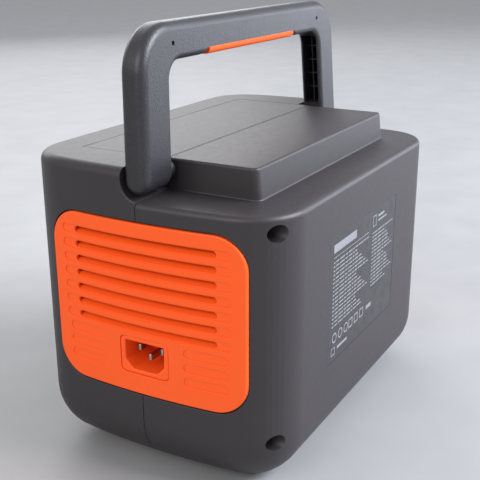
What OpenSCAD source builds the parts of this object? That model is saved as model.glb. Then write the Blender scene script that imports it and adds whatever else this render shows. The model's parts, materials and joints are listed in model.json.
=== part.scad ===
// Portable power station: a two-part housing with a fold-down carrying handle, orange vent
// panels at both ends, a mains inlet, a front panel with outlets, and a battery, an inverter
// board and a fan inside. X runs along the length, the inlet end is +X, the back is +Y.

/* [Housing] */
// Length over the housing's ends, without the panels' rise
body_l = 229; // [220:1:240]
// Depth from the front face to the back face
body_w = 153; // [150:1:156]
// Height of the raised top above the ground
body_h = 167; // [166:0.5:170]
// Height of the ledge that the folded handle lies over
ledge_z = 150.8; // [150:0.1:151.5]
// Radius of the upright corners and of the bottom edges
edge_r = 30; // [28:0.5:31]
// Plan radius of the bulged ends
end_r = 400; // [350:10:600]
// Wall thickness
wall = 3; // [2.5:0.1:3.2]
// Length of the raised block between the handle's arms
block_l = 169; // [166:0.5:170]
// Distance from the seam to the back of the raised block
block_back = 52.4; // [48:0.1:53]

/* [Handle] */
// Width over the two arms at the pivot
handle_l = 228; // [227:0.5:228.5]
// Width of an arm
arm_w = 24; // [23:0.5:24.5]
// Angle by which each arm leans inwards
arm_slant = 4; // [3:0.5:4.5]
// Angle by which the raised handle leans towards the front
handle_lean = 2.5; // [1:0.5:3]
// Thickness of the handle, front to back
handle_t = 14.4; // [13:0.1:14.6]
// Height of the handle's top above the ground, measured along the raised handle
handle_top = 234.1; // [233:0.1:235]
// Height of the carrying bar's section
bar_h = 19; // [18:0.1:19.2]
// Height of the pivot above the ground
pivot_z = 161.2; // [161:0.1:161.6]
// Radius of the hinge pins
pin_r = 4; // [3.5:0.1:4.5]
// Radial clearance of a running fit
fit = 0.06; // [0.03:0.01:0.09]
// Length of the grip insert
grip_l = 99; // [90:1:102]

/* [Vent panels] */
// Width of a vent panel
panel_w = 115; // [112:0.5:116]
// Height of a vent panel
panel_h = 93.2; // [92:0.1:94]
// Height of the vent panel's centre above the ground
panel_z = 94; // [93:0.5:95]
// Offset of the vent panel's centre from the seam
panel_y = 2; // [0:0.5:3]
// Distance between two slots
slot_pitch = 7.8; // [7.5:0.1:8]
// Length of a through slot
slot_l = 84; // [78:1:86]
// Height of a through slot
slot_h = 3.6; // [3:0.1:3.8]

/* [Front panel] */
// Width of the front panel
fascia_w = 160; // [156:1:160]
// Height of the front panel
fascia_h = 104; // [100:1:106]
// Inside radius of the 12 V socket
car_socket_r = 10.5; // [10.4:0.05:10.6]
// Travel of a push button
button_travel = 0.8; // [0.4:0.1:1]

/* [Battery] */
// Diameter of one cell
cell_d = 32.4; // [32:0.1:32.6]
// Length of one cell
cell_l = 70.5; // [70:0.5:71]

/* [Hidden] */

$fn = 64;
hull_fn = 32;
eps = 0.01;
gap = 0.3;
far = 400;

charcoal = "#3f3a3c";
orange = "#fa6230";
black = "#1c1c1e";
steel = "#c8c8cc";
copper = "#c77b4a";
board_green = "#1f5a3c";

// Housing frame
body_z = 1;
half_l = body_l / 2;
half_w = body_w / 2;
corner_y = half_w - edge_r;
corner_x = half_l - end_r + sqrt(pow(end_r - edge_r, 2) - pow(corner_y, 2));
end_angle = atan2(corner_y, corner_x + end_r - half_l);
end_steps = 3;
corner_steps = 8;
top_round = 5;
ledge_round = 2.5;
block_r = 4;

// Handle frame
arm_x = handle_l / 2 - arm_w;
handle_outer_r = 25;
handle_inner_r = 10;
pocket_r = 10.8;
pocket_y = 2.4;
pocket_z = ledge_z + pocket_r - 0.05;
boss_r = 8;
boss_l = 12.5;
pin_reach = handle_l / 2 - 6;
grip_t = 3.4;
grip_drop = 0.3;
notch_slope = 2;
grip_root_w = 6;
grip_root_h = 2.5;

// Vent panels
panel_rise = 0.5;
panel_r = 17;
panel_gap = 0.7;
panel_seat = 1.9;
panel_lip = 5;
louvre_depth = 4.2;
louvre_t = 1.2;
filter_d = panel_seat + louvre_depth + 0.1;
filter_t = 1;
slot_count = 7;
blind_count = 3;
slot_top_z = panel_z + 37;
groove_h = 4.8;
groove_reach = 8;
groove_depth = 0.4;
blind_l = 25;
blind_y = 36;
left_slot_count = 10;

// Mains inlet
inlet_z = 68.7;
inlet_w = 29.4;
inlet_h = 20.4;
inlet_mouth_w = 23.6;
inlet_mouth_h = 15.6;
inlet_chamfer = 4.6;
inlet_face_x = 114.6;
inlet_depth = 22;
inlet_floor = 3;
inlet_flange = 5;
inlet_flange_x = [109.5, 111.9];
blade = [20, 2, 4];
blade_spread = 7;

// Front panel
fascia_z = 92;
fascia_y = -half_w + 2.5;
fascia_t = 2.2;
fascia_r = 14;
fascia_lip = 3;
fascia_lip_t = 1.65;
port_post_r = 3;
display_pos = [0, 118];
display_size = [56, 26];
car_pos = [-52, 114];
car_l = 36;
car_contact_l = 4;
car_wall = 1.5;
outlet_pos = [52, 114];
outlet_size = 38;
outlet_depth = 24;
row_z = 78;
jack_x = -64;
usb_c_x = [-45, -28];
usb_a_x = -9;
button_x = [16, 34, 52];
button_r = 5.5;
button_rise = 1.2;
button_flange = 1.2;
button_stem = 4.1;

// Battery
cell_pitch = cell_d + 0.5;
cell_rows = [28, 28 + cell_pitch];
cell_first_y = -59.5 + cell_d / 2;
cell_first_x = -84;

// Boards
main_z = 84;
main_size = [170, 94, 1.6];
main_pos = [-86, -28, main_z];
standoff_x = [-80, 78];
standoff_y = [-23, 61];
standoff_h = 5;

// Fan
fan_x = -105.5;
fan_t = 15;
fan_size = 60;
fan_y = 2;
fan_z = 104;
fan_hole = 25;
fan_post_r = 3.6;
fan_bore_r = 28.2;
fan_rotor_r = 27.4;
hub_r = 14;
blade_count = 7;

// Housing screws: hole positions seen from the back
screw_x = 99.4;
screw_z = [31, 142];
screw_hole_r = 4.8;
screw_floor_y = 34;

// ---------- shapes shared by several pieces ----------

// Points of one quarter of the plan outline, inset by d
function quarter(d) = [
    for (i = [0:end_steps]) let (a = end_angle * i / end_steps)
        [half_l - end_r + (end_r - d) * cos(a), (end_r - d) * sin(a)],
    for (i = [1:corner_steps]) let (a = end_angle + (90 - end_angle) * i / corner_steps)
        [corner_x + (edge_r - d) * cos(a), corner_y + (edge_r - d) * sin(a)]];

function flip(points, sx, sy) = [for (p = points) [sx * p[0], sy * p[1]]];
function back_to_front(points) = [for (i = [len(points) - 1:-1:0]) points[i]];
function without_first(points) = [for (i = [1:len(points) - 1]) points[i]];

// The whole plan outline, inset by d
function plan_points(d) = let (q = quarter(d)) concat(
    q, back_to_front(flip(q, -1, 1)), without_first(flip(q, -1, -1)),
    back_to_front(without_first(flip(q, 1, -1))));

module plan(d = 0) {
    polygon(plan_points(d));
}

module slab(d, z0, z1) {
    translate([0, 0, z0]) linear_extrude(z1 - z0) plan(d);
}

// Centres of the balls that round the bottom edge
ball_r = end_r - edge_r;
ball_ring = [
    for (s = [-1, 1]) for (a = [-end_angle, -end_angle / 2, 0, end_angle / 2, end_angle])
        [s * (half_l - end_r + ball_r * cos(a)), ball_r * sin(a)]];

// The housing's rounded volume up to top_z, inset by d
module housing_volume(top_z, edge, d = 0) {
    hull() {
        for (p = ball_ring)
            translate([p[0], p[1], body_z + edge_r]) sphere(r = edge_r - d, $fn = hull_fn);
        slab(d, body_z + edge_r, top_z - d - edge);
        slab(d + edge * 0.3, top_z - d - edge, top_z - d - edge * 0.3);
        slab(d + edge, top_z - d - edge, top_z - d);
    }
}

module half_space(side) {
    translate([-far / 2, side > 0 ? 0 : -far, -far / 2]) cube(far);
}

module at_ends() {
    for (s = [0, 1]) mirror([s, 0, 0]) children();
}

// A rounded rectangle, drawn in the plane
module round_rect(size, r) {
    square([size[0] - 2 * r, size[1]], center = true);
    square([size[0], size[1] - 2 * r], center = true);
    for (x = [-1, 1]) for (y = [-1, 1])
        translate([x * (size[0] / 2 - r), y * (size[1] / 2 - r)]) circle(r);
}

// A slot with round ends, drawn in the plane
module stadium(size) {
    square([size[0] - size[1], size[1]], center = true);
    for (s = [-1, 1]) translate([s * (size[0] - size[1]) / 2, 0]) circle(d = size[1]);
}

// Draws a Y-Z outline as a prism along X from x0 to x1
module along_x(x0, x1) {
    translate([x0, 0, 0]) rotate([90, 0, 90]) linear_extrude(x1 - x0) children();
}

// Draws an X-Z outline as a prism along Y from y0 to y1
module along_y(y0, y1) {
    translate([0, y1, 0]) rotate([90, 0, 0]) linear_extrude(y1 - y0) children();
}

module rod_x(x0, x1, r) {
    translate([x0, 0, 0]) rotate([0, 90, 0]) cylinder(h = x1 - x0, r = r);
}

module rod_y(y0, y1, r) {
    translate([0, y1, 0]) rotate([90, 0, 0]) cylinder(h = y1 - y0, r = r);
}

module at_pivot() {
    translate([0, 0, pivot_z]) children();
}

// The box that the vent panels fill, grown by g, over the ends from x0 outwards
module panel_prism(g, x0 = half_l - 20) {
    along_x(x0, half_l + 5) translate([panel_y, panel_z])
        round_rect([panel_w + 2 * g, panel_h + 2 * g], panel_r + g);
}

// ---------- housing ----------

// What is left standing inside the front shell: pocket walls, hinge bosses, screw posts
module front_posts() {
    at_ends() {
        translate([block_l / 2 - wall, -pocket_r - wall, ledge_z - wall])
            cube([far, pocket_r + wall, far]);
        at_pivot() rod_x(block_l / 2 - boss_l, block_l / 2, boss_r);
        for (z = screw_z) translate([screw_x, 0, z]) rod_y(-far / 2, -0.5, 5);
    }
    cradle_ribs(-48);
    board_post(standoff_y[0]);
}

// Ribs under the battery's holders, from y towards the seam
module cradle_ribs(y) {
    for (x = holder_x) translate([x, min(y, 0), 0]) cube([6, abs(y), cradle_z]);
}

// A tall post under the right-hand end of the main board
module board_post(y) {
    translate([standoff_x[1], y, 0]) cylinder(h = main_z - standoff_h - 0.05, r = 3.5);
}

module pocket() {
    along_x(block_l / 2, far) {
        translate([pocket_y, pocket_z]) circle(pocket_r);
        translate([pocket_y - pocket_r, pocket_z]) square([pocket_r * 2, far]);
    }
}

module hinge_bore() {
    at_pivot() rod_x(block_l / 2 - boss_l - wall, block_l / 2 + 1, pin_r);
}

module end_openings() {
    at_ends() {
        difference() {
            panel_prism(panel_gap);
            slab(panel_seat, 0, body_h);
        }
        panel_prism(-panel_lip);
    }
}

module front_shell() color(charcoal) difference() {
    intersection() {
        housing_volume(body_h, top_round);
        half_space(-1);
    }
    difference() {
        housing_volume(body_h, top_round, wall);
        front_posts();
    }
    at_ends() {
        pocket();
        hinge_bore();
        for (z = screw_z) translate([screw_x, 0, z]) rod_y(-30, 1, 1.8);
    }
    end_openings();
    along_y(-half_w - 1, -half_w + wall + 1) translate([0, fascia_z])
        round_rect([fascia_w, fascia_h], fascia_r);
    top_panel_seat();
    foot_seats();
}

// What is left standing inside the rear shell: hinge bosses and screw sleeves
module rear_posts() {
    at_ends() {
        at_pivot() rod_x(block_l / 2 - boss_l, block_l / 2, boss_r);
        for (z = screw_z) translate([screw_x, 0, z]) rod_y(0.5, far / 2, screw_hole_r + 2);
    }
    cradle_ribs(48);
    board_post(standoff_y[1]);
}

// The raised block's outline in plan, inset by d
module block_outline(d) {
    difference() {
        round_rect([block_l - 2 * d, 2 * (block_back - d)], block_r);
        translate([-far / 2, -far]) square(far);
    }
}

module rear_shell() color(charcoal) difference() {
    union() {
        intersection() {
            housing_volume(ledge_z, ledge_round);
            half_space(1);
        }
        translate([0, 0, ledge_z - wall]) linear_extrude(body_h - ledge_z + wall)
            block_outline(0);
    }
    difference() {
        union() {
            housing_volume(ledge_z, ledge_round, wall);
            translate([0, 0, ledge_z - 2 * wall]) linear_extrude(body_h - ledge_z + wall)
                block_outline(wall);
        }
        rear_posts();
    }
    at_ends() {
        hinge_bore();
        for (z = screw_z) translate([screw_x, 0, z]) {
            rod_y(screw_floor_y, far / 2, screw_hole_r);
            rod_y(-1, screw_floor_y + 1, 2.3);
        }
    }
    end_openings();
    label_plate(gap, 1);
    foot_seats();
}

// The inlaid plate in the front half of the top continues the raised block's outline
top_panel_y = [-54, -1];
top_panel_t = 1.6;

module top_panel_plate(g, rise) {
    translate([-block_l / 2 - g, top_panel_y[0] - g, body_h - top_panel_t])
        cube([block_l + 2 * g, top_panel_y[1] - top_panel_y[0] + 2 * g, top_panel_t + rise]);
}

module top_panel_seat() {
    top_panel_plate(0.25, 1);
}

module top_panel() color(charcoal) top_panel_plate(0, 0);

// ---------- vent panels, filters, inlet ----------

module vent_plate() {
    difference() {
        intersection() {
            slab(-panel_rise, panel_z - panel_h / 2 - 1, panel_z + panel_h / 2 + 1);
            panel_prism(0);
        }
        slab(panel_seat, 0, body_h);
    }
}

// Through slots, each with a wider shallow groove round it
module vent_slots(count) {
    for (i = [0:count - 1]) along_x(half_l - 20, half_l + 5)
        translate([panel_y, slot_top_z - slot_pitch * i]) stadium([slot_l, slot_h]);
}

module vent_grooves(count) {
    for (i = [0:count - 1]) along_x(half_l - 20, half_l + 5)
        translate([panel_y, slot_top_z - slot_pitch * i])
            stadium([slot_l + 2 * groove_reach, groove_h]);
}

module blind_grooves() {
    for (i = [0:blind_count - 1]) for (s = [-1, 1]) along_x(half_l - 20, half_l + 5)
        translate([panel_y + s * blind_y, slot_top_z - slot_pitch * (slot_count + i)])
            stadium([blind_l, groove_h]);
}

// A ramp behind each slot, rising inwards, so that nothing drips or shows through it
module louvres(count) {
    r = end_r - panel_seat;
    for (i = [0:count - 1]) translate([half_l - end_r, 0, slot_top_z - slot_pitch * i - slot_h / 2])
        rotate([0, 0, louvre_start]) rotate_extrude(angle = louvre_sweep, $fn = 360)
            polygon([[r + 0.3, -0.3], [r - louvre_depth, louvre_depth],
                [r - louvre_depth, louvre_depth - 2 * louvre_t], [r - louvre_t, -louvre_t],
                [r + 0.3, -louvre_t]]);
}

louvre_start = asin((panel_y - slot_l / 2 - 1) / end_r);
louvre_sweep = asin((panel_y + slot_l / 2 + 1) / end_r) - louvre_start;

module inlet_outline(g) {
    round_rect([inlet_w + 2 * g, inlet_h + 2 * g], 2.5 + g);
}

module right_vent_panel() color(orange) {
    difference() {
        vent_plate();
        vent_slots(slot_count);
        difference() {
            union() {
                vent_grooves(slot_count);
                blind_grooves();
            }
            slab(groove_depth - panel_rise, 0, body_h);
        }
        along_x(half_l - 20, half_l + 5) translate([panel_y, inlet_z]) inlet_outline(0.2);
    }
    louvres(slot_count);
}

module left_vent_plate() {
    difference() {
        vent_plate();
        vent_slots(left_slot_count);
        difference() {
            vent_grooves(left_slot_count);
            slab(groove_depth - panel_rise, 0, body_h);
        }
    }
}

module left_vent_panel() color(orange) mirror([1, 0, 0]) {
    left_vent_plate();
    difference() {
        union() {
            louvres(left_slot_count);
            intersection() {
                fan_posts(half_l, fan_post_r);
                slab(panel_seat - 0.3, 0, body_h);
            }
        }
        intersection() {
            fan_posts(half_l, 1.6);
            slab(panel_seat, 0, body_h);
        }
    }
}

// Four posts behind the left panel carry the fan; x1 is their outer end
module fan_posts(x1, r) {
    for (y = [-fan_hole, fan_hole]) for (z = [-fan_hole, fan_hole])
        translate([0, fan_y + y, fan_z + z]) rod_x(-fan_x + 0.05, x1, r);
}

// A curved sheet of filter cloth behind the louvres
module filter_sheet(z0, z1) {
    difference() {
        intersection() {
            slab(filter_d, z0 - 1, z1 + 1);
            along_x(half_l - 20, half_l) translate([panel_y, (z0 + z1) / 2])
                round_rect([slot_l + 4, z1 - z0], 4);
        }
        slab(filter_d + filter_t, 0, body_h);
    }
}

filter_z = [56, 82, 135];

module right_dust_filter() color(black) filter_sheet(filter_z[1], filter_z[2]);

module left_dust_filter() color(black) mirror([1, 0, 0]) difference() {
    filter_sheet(filter_z[0], filter_z[2]);
    fan_posts(half_l, fan_post_r + 0.2);
}

// The mouth has its two lower corners cut off
module inlet_mouth() {
    w = inlet_mouth_w / 2;
    h = inlet_mouth_h / 2;
    polygon([[-w, h], [-w, inlet_chamfer - h], [inlet_chamfer - w, -h],
        [w - inlet_chamfer, -h], [w, inlet_chamfer - h], [w, h]]);
}

module ac_inlet_body() color(orange) translate([0, panel_y, inlet_z]) difference() {
    union() {
        along_x(inlet_face_x - inlet_depth - inlet_floor, inlet_face_x) inlet_outline(0);
        along_x(inlet_flange_x[0], inlet_flange_x[1])
            round_rect([inlet_w + 2 * inlet_flange, inlet_h + 3], 2);
    }
    along_x(inlet_face_x - inlet_depth, inlet_face_x + 1) inlet_mouth();
    inlet_blades(-2);
}

module inlet_blades(reach) {
    back = inlet_face_x - inlet_depth - inlet_floor - 6;
    for (p = [[-blade_spread, 2], [blade_spread, 2], [0, -2]])
        translate([back, p[0] - blade[1] / 2, p[1] - blade[2] / 2])
            cube([blade[0] + 6 + reach, blade[1], blade[2]]);
}

module ac_inlet_pins() color(steel) translate([0, panel_y, inlet_z]) inlet_blades(0);

label_size = [97, 72];
label_pos = [2.5, 89.7];
label_t = 0.3;

module label_plate(g, rise) {
    along_y(half_w - label_t, half_w + rise) translate(label_pos)
        square([label_size[0] + g, label_size[1] + g], center = true);
}

module rating_label() color("#4a4a4e") label_plate(0, 0);

// ---------- feet and fasteners ----------

foot_x = 66;
foot_y = 36;
foot_r = 12;
foot_depth = 1.2;

module at_feet() {
    for (x = [-1, 1]) for (y = [-1, 1]) translate([x * foot_x, y * foot_y, 0]) children();
}

module foot_seats() {
    at_feet() cylinder(h = body_z + foot_depth, r = foot_r + 0.15);
}

module rubber_feet() color(black) at_feet() cylinder(h = body_z + foot_depth, r = foot_r);

module housing_screws() color(steel) at_ends() for (z = screw_z) translate([screw_x, 0, z])
    difference() {
        union() {
            rod_y(-28, screw_floor_y, 1.75);
            rod_y(screw_floor_y + 0.05, screw_floor_y + 3, 3.8);
            rod_y(screw_floor_y - 1, screw_floor_y + 1, 1.75);
        }
        translate([0, screw_floor_y + 3 + eps, 0]) rotate([90, 0, 0])
            cylinder(h = 2, d = 4, $fn = 6);
    }

// Plain pins, pressed into the bosses
module hinge_pins() color(steel) at_ends() at_pivot()
    rod_x(block_l / 2 - boss_l, pin_reach, pin_r);

module hinge_washers() color(black) at_ends() at_pivot() difference() {
    rod_x(block_l / 2 + 0.1, arm_x - 3 * gap, boss_r - 2);
    rod_x(block_l / 2 - 1, arm_x + 1, pin_r + 0.05);
}

// ---------- handle ----------

// Points that round the corner b of the line a-b-c with radius r
function rounded(a, b, c, r, n = 12) =
    let (u = (a - b) / norm(a - b), v = (c - b) / norm(c - b), h = acos(u * v) / 2,
        m = b + (u + v) / norm(u + v) * r / sin(h), p = b + u * r / tan(h) - m,
        turn = (180 - 2 * h) * sign(v[0] * u[1] - v[1] * u[0]))
    [for (i = [0:n]) let (t = turn * i / n)
        m + [p[0] * cos(t) - p[1] * sin(t), p[0] * sin(t) + p[1] * cos(t)]];

// A closed outline with slanting sides, x from the middle at the pivot's height, up to top
function arch(x, top, r, low) =
    let (slope = tan(arm_slant), x0 = x + low * slope, x1 = x - (top - pivot_z) * slope,
        a = [-x0, pivot_z - low], b = [-x1, top], c = [x1, top], d = [x0, pivot_z - low])
    concat([a], rounded(a, b, c, r), rounded(b, c, d, r), [d]);

// The U outline of the handle in the X-Z plane
module handle_outline() difference() {
    polygon(arch(handle_l / 2, handle_top, handle_outer_r, handle_t));
    polygon(arch(arm_x, handle_top - bar_h, handle_inner_r, handle_t + 1));
}

// Leans the upright handle towards the front
module leaning() {
    at_pivot() rotate([handle_lean, 0, 0]) translate([0, 0, -pivot_z]) children();
}

// Side outline of the handle in the Y-Z plane, with a round lower end at the pivot
module handle_side() {
    circle(d = handle_t);
    translate([-handle_t / 2, 0]) square([handle_t, far]);
}

// Ribbed recess in the inner face of an arm
rib_wall = 2.2;
rib_t = 1;
rib_sink = 1.5;
rib_pitch = 9;
recess_depth = 17;
recess_z = [7, handle_top - bar_h - pivot_z - 2.5];

// Puts the inner face of the right-hand arm, at the pivot's height, at the origin
module in_arm() {
    translate([arm_x, 0, pivot_z]) rotate([0, -arm_slant, 0]) children();
}

module arm_recess() in_arm() difference() {
    w = handle_t - 2 * rib_wall;
    translate([-handle_inner_r, -w / 2, recess_z[0]])
        cube([recess_depth + handle_inner_r, w, recess_z[1] - recess_z[0]]);
    for (z = [recess_z[0] + rib_pitch:rib_pitch:recess_z[1] - rib_pitch / 2])
        translate([rib_sink, -w, z]) cube([recess_depth, 2 * w, rib_t]);
    for (y = [-1, 1]) translate([rib_sink, y * w / 6 - rib_t / 2, recess_z[0] - 1])
        cube([recess_depth, rib_t, recess_z[1]]);
}

// The notch in the bar's underside has slanting ends
module grip_notch() {
    l = grip_l / 2 + 0.5;
    along_y(-handle_t, handle_t) polygon([[-l - (grip_t + 1) * notch_slope, -1],
        [l + (grip_t + 1) * notch_slope, -1], [l, grip_t], [-l, grip_t]]);
}

module grip_root(w, l, h) {
    translate([-l / 2, -w / 2, grip_t - 1]) cube([l, w, h + 1]);
}

module handle_frame() color(charcoal) leaning() difference() {
    intersection() {
        along_y(-handle_t / 2, handle_t / 2) handle_outline();
        at_pivot() along_x(-handle_l, handle_l) handle_side();
    }
    at_ends() {
        at_pivot() rod_x(arm_x - 1, pin_reach + gap, pin_r + fit);
        arm_recess();
    }
    translate([0, 0, handle_top - bar_h]) {
        grip_notch();
        grip_root(grip_root_w, grip_l - 12, grip_root_h);
    }
    handle_screw_holes();
}

module handle_grip() color(orange) leaning() translate([0, 0, handle_top - bar_h]) {
    translate([-grip_l / 2, -handle_t / 2 + 0.2, -grip_drop])
        cube([grip_l, handle_t - 0.4, grip_drop + grip_t - 0.05]);
    grip_root(grip_root_w - 0.1, grip_l - 12.1, grip_root_h - 0.1);
}

handle_screw_pos = [83.5, 223.6];

module handle_screw_holes() {
    at_ends() translate([handle_screw_pos[0], 0, handle_screw_pos[1]])
        rod_y(-1, handle_t, 1.3);
}

module handle_screws() color(steel) leaning() at_ends()
    translate([handle_screw_pos[0], 0, handle_screw_pos[1]]) rod_y(-0.9, handle_t / 2 - 1.5, 1.2);

// ---------- front panel ----------

module at_front(pos) {
    translate([pos[0], 0, pos[1]]) children();
}

module button_hole() {
    rod_y(-half_w, fascia_y + 5, button_r + gap);
}

port_post_pos = [[-71, 69], [-71, 85], [63, 69], [63, 85]];

module front_fascia() color(black) difference() {
    union() {
        for (p = port_post_pos) at_front(p) rod_y(fascia_y + 1, board_y, port_post_r);
        along_y(fascia_y, fascia_y + fascia_t) translate([0, fascia_z])
            round_rect([fascia_w - 2 * gap, fascia_h - 2 * gap], fascia_r);
        along_y(fascia_y + fascia_t - fascia_lip_t, fascia_y + fascia_t) translate([0, fascia_z])
            round_rect([fascia_w + 2 * fascia_lip, fascia_h + 2 * fascia_lip], fascia_r);
    }
    at_front(display_pos) along_y(-half_w, fascia_y + 5) round_rect(display_size, 2);
    at_front(car_pos) rod_y(-half_w, fascia_y + 5, car_socket_r + car_wall + 0.1);
    at_front(outlet_pos) along_y(-half_w, fascia_y + 5)
        round_rect([outlet_size + 0.2, outlet_size + 0.2], 6.1);
    for (x = button_x) at_front([x, row_z]) button_hole();
    for (x = usb_c_x) at_front([x, row_z]) along_y(-half_w, fascia_y + 5) stadium([9.4, 3.6]);
    at_front([usb_a_x, row_z]) along_y(-half_w, fascia_y + 5) square([13.4, 6], center = true);
    at_front([jack_x, row_z]) rod_y(-half_w, fascia_y + 5, 5.1);
    at_front([car_pos[0], cap_hinge_z]) along_y(-half_w, fascia_y + 1) square([15, 5.4], center = true);
}

module display_lens() color("#101418") at_front(display_pos)
    along_y(fascia_y + 0.2, fascia_y + fascia_t)
        round_rect([display_size[0] - 0.2, display_size[1] - 0.2], 1.9);

module display_module() color(board_green) at_front(display_pos)
    along_y(fascia_y + fascia_t + 0.1, fascia_y + fascia_t + 5)
        square([display_size[0] + 4, display_size[1] + 6], center = true);

module push_button(x) {
    at_front([x, row_z]) {
        rod_y(fascia_y - button_rise, fascia_y + fascia_t + 1, button_r);
        rod_y(fascia_y + fascia_t + gap, fascia_y + fascia_t + 1.2, button_r + button_flange);
        rod_y(fascia_y, fascia_y + button_stem, 2);
    }
}

module power_button() color(black) push_button(button_x[0]);
module dc_button() color(black) push_button(button_x[1]);
module ac_button() color(black) push_button(button_x[2]);

board_y = -63.2;

module button_switches() color(steel) for (x = button_x) at_front([x, row_z]) {
    rod_y(fascia_y + button_stem + button_travel + gap, board_y - 2, 1.6);
    along_y(board_y - 3, board_y) square([6, 6], center = true);
}

module car_socket() color(black) at_front(car_pos) difference() {
    union() {
        rod_y(fascia_y, fascia_y + car_l + car_contact_l + 2, car_socket_r + car_wall);
        rod_y(fascia_y + fascia_t + 0.05, fascia_y + fascia_t + 2, car_socket_r + car_wall + 3);
    }
    rod_y(fascia_y - 1, fascia_y + car_l, car_socket_r);
    rod_y(fascia_y + car_l - 1, fascia_y + car_l + car_contact_l, 3.05);
}

// The contact is let into the socket's floor
module car_socket_contact() color(steel) at_front(car_pos)
    rod_y(fascia_y + car_l + 0.1, fascia_y + car_l + car_contact_l, 3);

// The cap hangs on a hinge above the socket and swings up
cap_r = 13.6;
cap_t = 1.9;
cap_hinge_z = car_pos[1] + 16.5;
cap_hinge_y = fascia_y - 1.3;

module car_socket_cap() color(black) difference() {
    union() {
        at_front(car_pos) rod_y(fascia_y - cap_t - 0.2, fascia_y - 0.2, cap_r);
        translate([car_pos[0] - 4.5, fascia_y - cap_t - 0.2, car_pos[1] - cap_r - 1.6])
            cube([9, cap_t, cap_r + 18.1]);
        translate([car_pos[0], cap_hinge_y, cap_hinge_z]) rod_x(-4.5, 4.5, 1.1);
    }
    translate([car_pos[0], cap_hinge_y, cap_hinge_z]) rod_x(-6, 6, 0.6 + fit);
}

module cap_hinge_pin() color(steel) translate([car_pos[0], cap_hinge_y, cap_hinge_z]) {
    rod_x(-7, 7, 0.6);
    for (s = [-1, 1]) translate([s * 6.1, 0, 0]) hinge_post();
}

module hinge_post() {
    translate([-0.9, 0, 0]) rod_x(0, 1.8, 1.1);
    translate([-0.9, 0, -1.1]) cube([1.8, 2.2, 2.2]);
}

// Two flat slots and a round-topped earth hole
module ac_outlet_body() color(black) at_front(outlet_pos) difference() {
    union() {
        along_y(fascia_y - 0.4, fascia_y + outlet_depth)
            round_rect([outlet_size, outlet_size], 6);
        along_y(fascia_y + fascia_t + 0.05, fascia_y + fascia_t + 2)
            round_rect([outlet_size + 4, outlet_size + 4], 6);
    }
    along_y(fascia_y - 1, fascia_y + 18) {
        translate([-6.35, 3]) square([2.6, 8], center = true);
        translate([6.35, 3]) square([2.6, 7], center = true);
        translate([0, -8]) circle(2.7);
        translate([-2.7, -8]) square([5.4, 1.4]);
    }
}

module ac_outlet_contacts() color(copper) at_front(outlet_pos) {
    for (s = [-1, 1]) translate([s * 6.35, 0, 3]) {
        translate([-1.3, fascia_y + 12, -3.4]) cube([0.6, 6, 6.8]);
        translate([0.7, fascia_y + 12, -3.4]) cube([0.6, 6, 6.8]);
    }
    translate([0, 0, -8]) difference() {
        rod_y(fascia_y + 12, fascia_y + 18, 2.7);
        rod_y(fascia_y + 11, fascia_y + 19, 2.2);
    }
}

module usb_c_ports() color(steel) for (x = usb_c_x) at_front([x, row_z]) {
    difference() {
        along_y(fascia_y + 0.2, board_y) stadium([9, 3.2]);
        along_y(fascia_y - 1, board_y - 2) stadium([8.3, 2.5]);
    }
    along_y(fascia_y + 1.4, board_y - 1.9) square([6.4, 0.7], center = true);
}

module usb_a_port() color(steel) at_front([usb_a_x, row_z]) {
    difference() {
        along_y(fascia_y + 0.2, board_y) square([13.1, 5.7], center = true);
        along_y(fascia_y - 1, board_y - 1) square([12.4, 5], center = true);
    }
    translate([0, 0, 1.2]) along_y(fascia_y + 1.4, board_y - 0.9) square([11, 1.6], center = true);
}

module dc_input_jack() color(black) at_front([jack_x, row_z]) {
    difference() {
        rod_y(fascia_y - 0.3, board_y, 5);
        rod_y(fascia_y - 1, board_y - 1, 3.2);
    }
    rod_y(fascia_y + 1.5, board_y - 0.9, 1);
}

module port_board() color(board_green)
    translate([-74, board_y + 0.05, row_z - 12]) cube([140, 1.6, 22]);

// ---------- battery ----------

module at_cells() {
    for (i = [0:1]) for (j = [0:3]) for (z = cell_rows)
        translate([cell_first_x + i * (cell_l + 0.5), cell_first_y + j * cell_pitch, z])
            children();
}

module battery_cells() color("#2f6fb0") at_cells() rod_x(0, cell_l, cell_d / 2);

holder_x = [cell_first_x + 1, cell_first_x + cell_l - 2.75, cell_first_x + 2 * cell_l - 5.5];
pack_y = cell_first_y + 1.5 * cell_pitch;
pack_z = (cell_rows[0] + cell_rows[1]) / 2;
cradle_z = pack_z - cell_pitch - 0.25;
clamp_top = pack_z + cell_pitch + 0.8;

module cell_holders() color(black) difference() {
    for (x = holder_x) along_x(x, x + 6)
        translate([pack_y, pack_z]) round_rect([4 * cell_pitch + 0.4, 2 * cell_pitch + 0.4], 15);
    for (j = [0:3]) for (z = cell_rows) translate([0, cell_first_y + j * cell_pitch, z])
        rod_x(-far / 2, far / 2, cell_d / 2 + 0.1);
}

module bus_bars() color(steel) for (x = [cell_first_x - 1, cell_first_x + 2 * cell_l + 0.6])
    for (j = [0, 2]) for (z = cell_rows)
        translate([x, cell_first_y + j * cell_pitch - 6, z - 6]) cube([0.9, cell_pitch + 12, 12]);

module battery_clamp() color(steel) for (x = [cell_first_x + 30, cell_first_x + 106])
    difference() {
        along_x(x, x + 12) translate([pack_y, pack_z])
            round_rect([4 * cell_pitch + 0.9, 2 * cell_pitch + 1.6], 16.6);
        along_x(x - 1, x + 13) translate([pack_y, pack_z])
            round_rect([4 * cell_pitch - 0.3, 2 * cell_pitch + 0.2], 16);
    }

module battery_board() color(board_green) {
    translate([-60, -10, clamp_top + 0.05]) cube([90, 56, 1.4]);
    for (i = [0:4]) translate([-54 + i * 16, 0, clamp_top + 1]) cube([9, 7, 1.6]);
}

// ---------- inverter ----------

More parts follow.
